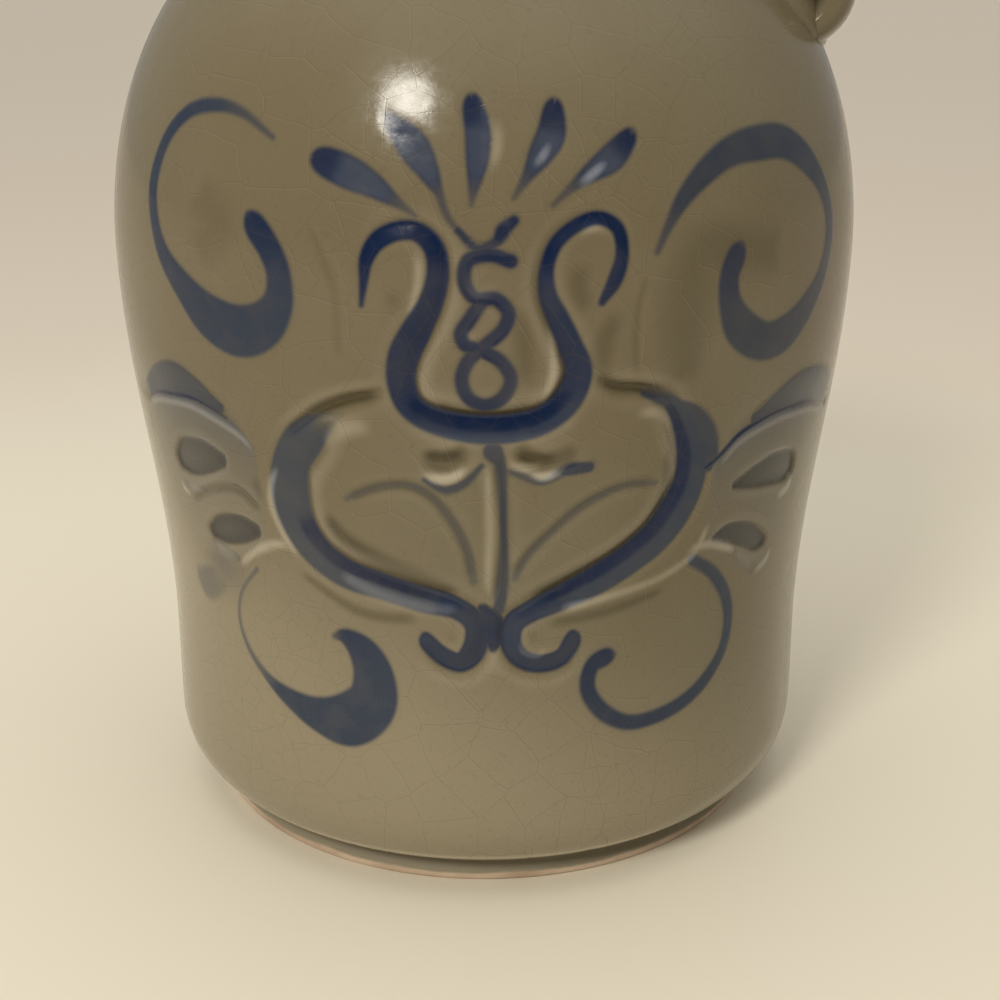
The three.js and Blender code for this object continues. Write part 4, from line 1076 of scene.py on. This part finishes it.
class JUGVASE_OT_body(Operator):
    """Make the thrown wall with its carved front"""

    bl_idname = "jugvase.body"
    bl_label = "Body"

    def execute(self, context):
        s = shape()
        wall = front_wall()
        seat_share = math.acos((s.neck_seat - s.shoulder_radius) / (s.widest_radius - s.shoulder_radius))
        widest, dome = s.widest_height / MM, (s.shoulder_height - s.widest_height) / MM
        seat = widest + dome * math.sin(seat_share)
        foot = s.foot_height / MM
        edge = s.edge_radius / MM
        heights = np.r_[
            foot + np.array(HEEL_ROWS),
            np.arange(FINE_LOW, FINE_HIGH, FINE_STEP),
            widest + dome * np.sin(np.linspace(math.asin((DOME_LOW - widest) / dome), seat_share, DOME_ROWS)),
        ]
        front = np.arange(-FINE_GIRTH, FINE_GIRTH + 0.01, FINE_STEP)
        girth_round = 2 * math.pi * s.widest_radius / MM
        back = np.linspace(front[-1], front[0] + girth_round, BACK_COLUMNS)[1:-1]
        girths = np.r_[front, back]
        columns = len(girths)
        girth, height = np.meshgrid(girths, heights)
        wrapped = np.where(girth > girth_round / 2, girth - girth_round, girth)
        outer = on_wall(wrapped, height, wall.sample(wall.under, wrapped, height))
        angle = girths / (s.widest_radius / MM)

        def ring(radius, z):
            return np.stack([radius * np.sin(angle), -radius * np.cos(angle), np.full(columns, z)], -1) * MM

        wall_mm, floor_top = s.wall / MM, foot + s.floor / MM
        inner_dome = [
            (s.shoulder_radius / MM + (s.widest_radius - s.shoulder_radius - s.wall) / MM * math.cos(a),
             widest + (dome - wall_mm) * math.sin(a)) for a in quarter(1, 0, 12)]
        inner_low = [(float(body_radius(z)) - wall_mm, z) for z in np.linspace(widest, floor_top + INNER_BEND, 9)[1:]]
        corner = inner_low[-1][0] - INNER_BEND
        inner_corner = [(corner + INNER_BEND * math.cos(a), floor_top + INNER_BEND * (1 - math.sin(a)))
                        for a in quarter(0, 1, 7)[1:]]
        bore = s.neck_bore / MM
        inside = [(bore, seat), (bore, s.shoulder_height / MM - wall_mm)] + inner_dome + inner_low + inner_corner
        inside += [(corner * k, floor_top) for k in (0.75, 0.5, 0.25, 0.06)]
        under = [(edge * k, foot) for k in (0.06, 0.3, 0.55, 0.8, 0.94)] + [(edge - 0.5, foot + 0.05)]
        points = np.vstack([outer.reshape(-1, 3)] + [ring(r, z) for r, z in inside + under])
        faces = ring_faces(len(points) // columns, columns, "joined")
        marks = wall.marks(wrapped.ravel(), height.ravel())
        # Pale band along the body's lower edge: glaze thin over the edge, and painted highlight where the rounded edge
        # catches the light
        thin_lit_edge = ease(foot + 2.8, foot + 1.8, height.ravel())
        marks["thin"] = np.maximum(marks["thin"], thin_lit_edge)
        rest = np.zeros(len(points) - height.size)
        marks = {key: np.r_[values, rest] for key, values in marks.items()}
        made = mesh_object("jug_body", points, faces, None, marks)
        carved = slice(3 * columns, (len(heights) - 1) * columns)
        normals = np.array([v.normal for v in made.data.vertices])
        normals[carved] = wall_normals(wall, wrapped, height).reshape(-1, 3)[carved]
        made.data.normals_split_custom_set_from_vertices(normals.tolist())
        settle_piece(made, "glaze", material("glaze"), "body_wall")
        return {"FINISHED"}


class JUGVASE_OT_foot(Operator):
    """Make the bare clay foot ring with its groove"""

    bl_idname = "jugvase.foot"
    bl_label = "Foot ring"

    def execute(self, context):
        s = shape()
        inset, band, groove, bevel = 0.8 * MM, 1.9 * MM, 1.4 * MM, 0.8 * MM
        outer, inner, top = s.foot_radius - inset, s.foot_radius - s.foot_width, s.foot_height
        profile = [(inner + bevel * (1 - math.sin(a)), bevel * (1 - math.cos(a)))
                   for a in quarter(1, 0, 6)]
        profile += [(outer - bevel + bevel * math.sin(a), bevel * (1 - math.cos(a)))
                    for a in quarter(0, 1, 6)]
        profile += [(outer, 0.5 * (bevel + band)), (outer, band)]
        profile += [(outer - groove * math.sin(math.pi * k), band + (top - band) * k)
                    for k in np.linspace(0, 1, 15)[1:]]
        profile += [(0.5 * (outer + inner), top), (inner, top), (inner, 0.5 * top)]
        made = turned("jug_foot", profile, 160)
        settle_piece(made, "bare_clay", material("bare_clay"), "foot_ring")
        return {"FINISHED"}


class JUGVASE_OT_neck(Operator):
    """Make the neck with its rolled lip"""

    bl_idname = "jugvase.neck"
    bl_label = "Neck and lip"

    def execute(self, context):
        s = shape()
        low, high = neck_low.z, neck_high.z
        flare = s.neck_seat - s.neck_radius
        rise, ease_in = 9 * MM, 3 * MM
        profile = [(s.neck_seat - 0.4 * MM, low - 0.3 * MM), (s.neck_seat + 0.9 * MM, low - 0.55 * MM)]
        profile += [(s.neck_radius + flare * (1 - math.sin(a)), low + rise * (1 - math.cos(a)))
                    for a in quarter(0, 1, 12)[1:]]
        lip_low = high - 2 * s.lip_round
        profile += [(s.neck_radius, z) for z in np.linspace(low + rise, lip_low, 6)[1:-1]]
        throat = s.lip_radius - s.lip_round
        profile += [(throat + s.lip_round * math.cos(a), high - s.lip_round + s.lip_round * math.sin(a))
                    for a in quarter(-1, 1, 18)]
        profile += [(s.neck_bore + ease_in * (1 - math.sin(a)), high - ease_in * (1 - math.cos(a)))
                    for a in quarter(0, 1, 8)]
        profile += [(s.neck_bore, z) for z in np.linspace(high - ease_in, low, 8)[1:]]
        made = turned("jug_neck", profile, 144)
        settle_piece(made, "glaze", material("glaze"), "neck_and_lip")
        return {"FINISHED"}


# The handle: turn towards the tulip, its ends' heights from the neck's seat, half sizes of the pads up and round
HANDLE_TURN = math.radians(-10)
LOWER_END, UPPER_END = -19.8, 13.5
LOWER_PAD, UPPER_PAD = (11.5, 19), (8, 14)
PAD_BURIED = 0.7
SQUARENESS = 0.72


def in_handle_plane(points):
    """Points of the handle's own plane turned towards the tulip."""
    c, s = math.cos(HANDLE_TURN), math.sin(HANDLE_TURN)
    x, y, z = np.asarray(points, float).T
    return np.stack([c * x - s * y, s * x + c * y, z], -1)


class JUGVASE_OT_handle(Operator):
    """Make the pulled strap and the clay pressed round its ends"""

    bl_idname = "jugvase.handle"
    bl_label = "Handle"

    def execute(self, context):
        s = shape()
        seat = neck_low.z / MM
        low_z = seat + LOWER_END
        low_x = float(body_radius(low_z))
        neck = s.neck_radius / MM
        reach, thick = s.strap_reach / MM, s.strap_thickness / MM
        top = seat + s.strap_rise / MM
        span = top - low_z
        high_z = seat + UPPER_END
        line = smooth_line([
            (low_x - 0.35 * thick, 0, low_z - 0.84 * thick), (low_x + 0.4 * thick, 0, low_z - 0.64 * thick),
            (reach + 0.3, 0, low_z - 0.1 * thick), (reach - 0.35 * thick, 0, low_z + 0.4 * span),
            (reach - 1.3 * thick, 0, low_z + 0.84 * span), ((reach + neck) / 2, 0, top),
            (neck + 0.94 * thick, 0, high_z + 0.35 * thick), (neck - 0.24 * thick, 0, high_z - 0.35 * thick),
        ], 1.0)
        run = np.gradient(line, axis=0)
        run /= np.linalg.norm(run, axis=1)[:, None]
        face = np.cross(run, (0, 1, 0))
        travel = np.r_[0, np.cumsum(np.linalg.norm(np.diff(line, axis=0), axis=1))]
        left = travel[-1] - travel
        around = np.linspace(0, 2 * np.pi, 40, endpoint=False)
        across, through = [np.sign(f(around)) * np.abs(f(around)) ** SQUARENESS for f in (np.cos, np.sin)]
        half_width = s.strap_width / MM / 2 * (1 + 0.06 * np.exp(-travel / 7) + 0.14 * np.exp(-left / 7))
        slim = 1 - 0.7 * np.exp(-(travel / 11) ** 2)
        groove = 0.05 * np.exp(-(across / 0.32) ** 2) * (np.sin(around) < 0)
        sideways = half_width[:, None, None] * across[None, :, None] * np.array((0.0, 1.0, 0.0))
        depth = thick / 2 * (through + groove) * np.where(through > 0, slim[:, None], 1.0)
        points = (line[:, None, :] + sideways + depth[..., None] * face[:, None, :]).reshape(-1, 3)
        faces = ring_faces(len(line), len(around), "capped")
        made = mesh_object("jug_handle_strap", in_handle_plane(points) * MM, faces)
        settle_piece(made, "glaze", material("glaze"), "handle_strap")
        self.pad("handle_lower_pad", body_radius, low_z, LOWER_PAD, 1.0, 2.2)
        self.pad("handle_upper_pad", lambda z: np.full(len(z), neck), high_z, UPPER_PAD, 0.8, 2.6)
        return {"FINISHED"}

    @staticmethod
    def pad(node, radius, middle, size, step, swell):
        """Clay pressed on to a turned wall: an oval with a low step round it, swelling to its middle."""
        columns = 64
        heights = np.linspace(middle - 25, middle + 25, 501)
        radii = radius(heights)
        along = np.r_[0, np.cumsum(np.hypot(np.diff(heights), np.diff(radii)))]
        along -= np.interp(middle, heights, along)
        tilt = np.arctan2(-np.gradient(radii), np.gradient(heights))
        over = np.r_[np.linspace(0.04, 0.88, 12), 0.92, 0.95, 0.97, 0.985, 0.995, 1.0]
        under = np.linspace(1.0, 0.04, 10)
        proud = step * np.sqrt(1 - over ** 12) + swell * (1 - over ** 2)
        proud = np.r_[proud, np.full(len(under), -PAD_BURIED)][:, None]
        share = np.r_[over, under]
        turn = np.linspace(0, 2 * np.pi, columns, endpoint=False)
        slant = size[0] * np.outer(share, np.cos(turn))
        angle = size[1] * np.outer(share, np.sin(turn)) / np.interp(middle, heights, radii)
        lean = np.interp(slant, along, tilt)
        out = np.interp(slant, along, radii) + proud * np.cos(lean)
        up = np.interp(slant, along, heights) + proud * np.sin(lean)
        points = np.stack([out * np.cos(angle), out * np.sin(angle), up], -1).reshape(-1, 3)
        faces = ring_faces(len(share), columns, "capped")
        made = mesh_object("jug_" + node, in_handle_plane(points) * MM, faces)
        settle_piece(made, "glaze", material("glaze"), node)


def make_slips(slots):
    for name, slot in slots.items():
        settle_piece(slip_piece(name, front_wall()), slot, material(slot), name)


class JUGVASE_OT_scrolls(Operator):
    """Brush the four scrolls"""

    bl_idname = "jugvase.scrolls"
    bl_label = "Scrolls"

    def execute(self, context):
        make_slips({name: "cobalt_brushed" for name in STROKES if name.startswith("scroll")})
        return {"FINISHED"}


class JUGVASE_OT_tulip(Operator):
    """Lay the tulip's cup, petals and stamen"""

    bl_idname = "jugvase.tulip"
    bl_label = "Tulip"

    def execute(self, context):
        make_slips({name: "cobalt_deep" for name in STROKES if name.startswith(("tulip", "petal", "stamen"))})
        return {"FINISHED"}


class JUGVASE_OT_heart(Operator):
    """Lay the heart with its stem, sepals and leaf ribs"""

    bl_idname = "jugvase.heart"
    bl_label = "Heart"

    def execute(self, context):
        make_slips({"heart_left": "cobalt_deep", "heart_right": "cobalt_deep", "stem": "cobalt_pale",
                    "sepal_left": "cobalt_pale", "sepal_right": "cobalt_pale",
                    "leaf_rib_left": "cobalt_brushed", "leaf_rib_right": "cobalt_brushed"})
        return {"FINISHED"}


class JUGVASE_OT_pods(Operator):
    """Lay the seed pods with their caps and tip"""

    bl_idname = "jugvase.pods"
    bl_label = "Seed pods"

    def execute(self, context):
        make_slips({"pod_left": "cobalt_pale", "pod_right": "cobalt_pale", "pod_cap_left": "cobalt_brushed",
                    "pod_cap_right": "cobalt_brushed", "pod_tip_left": "cobalt_brushed"})
        return {"FINISHED"}


# Stage in metres and degrees: camera, key lamp, warm tint of the room
CAMERA_PLACE = (0.0, -0.3187, 0.1718)
CAMERA_DOWN, CAMERA_TURN = 19.483, -0.575
KEY_PLACE, KEY_TARGET, KEY_SIZE = (-0.46, -0.95, 0.89), (0, -0.05, 0.15), 0.31
KEY_TINT, ROOM_TINT = (1.0, 0.95, 0.86), (1.0, 0.95, 0.87)
FLOOR_RINGS, FLOOR_COLUMNS = [0.002, 0.1, 0.3, 0.8, 2.0, 6.0, 14.0], 96


def aim(made, target):
    direction = np.array(target) - np.array(made.location)
    flat = math.hypot(direction[0], direction[1])
    made.rotation_euler = (math.atan2(flat, -direction[2]), 0, math.atan2(-direction[0], direction[1]))


def lamp(name, place, target, power, size, tint):
    light = bpy.data.lights.new(name, "AREA")
    light.shape = "DISK"
    light.size = size
    light.energy = power
    light.color = tint
    made = bpy.data.objects.new(name, light)
    made.location = place
    made.visible_camera = False
    bpy.context.scene.collection.objects.link(made)
    aim(made, target)


class JUGVASE_OT_stage(Operator):
    """Set the pale floor, the lamps and the camera"""

    bl_idname = "jugvase.stage"
    bl_label = "Stage"

    def execute(self, context):
        g = stage_settings()
        scene = context.scene
        scene.view_settings.view_transform = "Standard"
        angle = np.linspace(0, 2 * np.pi, FLOOR_COLUMNS, endpoint=False)
        points = np.vstack([np.stack([r * np.cos(angle), r * np.sin(angle), 0 * angle], -1) for r in FLOOR_RINGS])
        faces = ring_faces(len(FLOOR_RINGS), FLOOR_COLUMNS)
        faces = [f[::-1] for f in faces] + [list(range(FLOOR_COLUMNS))]
        floor = mesh_object("stage_floor", points, faces)
        n = Nodes(bpy.data.materials.new("pale_floor"))
        place = n.place()
        away = n.vector("LENGTH", place)["Value"]
        tint = n.mix(n.remap(away, 0.22, 0.5), tuple(g.floor), tuple(g.floor_far))
        cloud = n.remap(n.noise(place, 9.0, 4.0), 0.3, 0.7, 0.0, 0.10)
        tint = n.mix(cloud, tint, tuple(g.floor_far))
        floor.data.materials.append(n.close(tint, 0.45, n.bump(n.noise(place, 300.0), 0.02, 0.0005), IOR=1.45))
        lamp("key", KEY_PLACE, KEY_TARGET, g.key_power, KEY_SIZE, KEY_TINT)
        world = bpy.data.worlds.new("room")
        n = Nodes(world)
        way = n.parts(n.add("ShaderNodeTexCoord").outputs["Generated"])
        side = n.remap(way["X"], -1.0, -0.1, 0.78 * g.room_level, g.room_level)
        level = n.remap(way["Y"], -0.85, 0.35, g.front_level, side)
        ceiling = n.remap(way["Z"], 0.45, 0.95, 0.0, g.ceiling_level)
        light = {"Color": ROOM_TINT, "Strength": n.math("ADD", level, ceiling)}
        n.add("ShaderNodeOutputWorld", {0: n.add("ShaderNodeBackground", light).outputs[0]})
        scene.world = world
        camera = bpy.data.cameras.new("photo")
        camera.sensor_width = 36.0
        camera.lens = g.lens
        camera.clip_start = 0.01
        made = bpy.data.objects.new("photo", camera)
        made.location = CAMERA_PLACE
        made.rotation_euler = (math.radians(90 - CAMERA_DOWN), 0.0, math.radians(CAMERA_TURN))
        scene.collection.objects.link(made)
        scene.camera = made
        return {"FINISHED"}


class JUGVASE_PT_panel(Panel):
    """Lists the jug's pieces and settings"""

    bl_idname = "JUGVASE_PT_panel"
    bl_label = "Jug vase"
    bl_space_type = "VIEW_3D"
    bl_region_type = "UI"
    bl_category = "Jug vase"

    def draw(self, context):
        for operator in OPERATORS:
            self.layout.operator(operator.bl_idname)
        for settings in (shape(), relief(), finish(), stage_settings()):
            box = self.layout.box()
            for key in settings.__annotations__:
                box.prop(settings, key)


SETTINGS = {"jug_shape": JugShape, "jug_relief": JugRelief, "jug_finish": JugFinish, "jug_stage": JugStage}
OPERATORS = (
    JUGVASE_OT_stage, JUGVASE_OT_body, JUGVASE_OT_foot, JUGVASE_OT_neck, JUGVASE_OT_handle,
    JUGVASE_OT_scrolls, JUGVASE_OT_tulip, JUGVASE_OT_heart, JUGVASE_OT_pods,
)


def register():
    for made in (*SETTINGS.values(), *OPERATORS, JUGVASE_PT_panel):
        bpy.utils.register_class(made)
    for key, group in SETTINGS.items():
        setattr(bpy.types.Scene, key, PointerProperty(type=group))


def unregister():
    for key in SETTINGS:
        delattr(bpy.types.Scene, key)
    for made in (JUGVASE_PT_panel, *reversed(OPERATORS), *SETTINGS.values()):
        bpy.utils.unregister_class(made)


def main():
    register()
    bpy.ops.jugvase.stage()
    bpy.ops.jugvase.body()
    bpy.ops.jugvase.foot()
    bpy.ops.jugvase.neck()
    bpy.ops.jugvase.handle()
    bpy.ops.jugvase.scrolls()
    bpy.ops.jugvase.tulip()
    bpy.ops.jugvase.heart()
    bpy.ops.jugvase.pods()


if __name__ == "__main__":
    main()
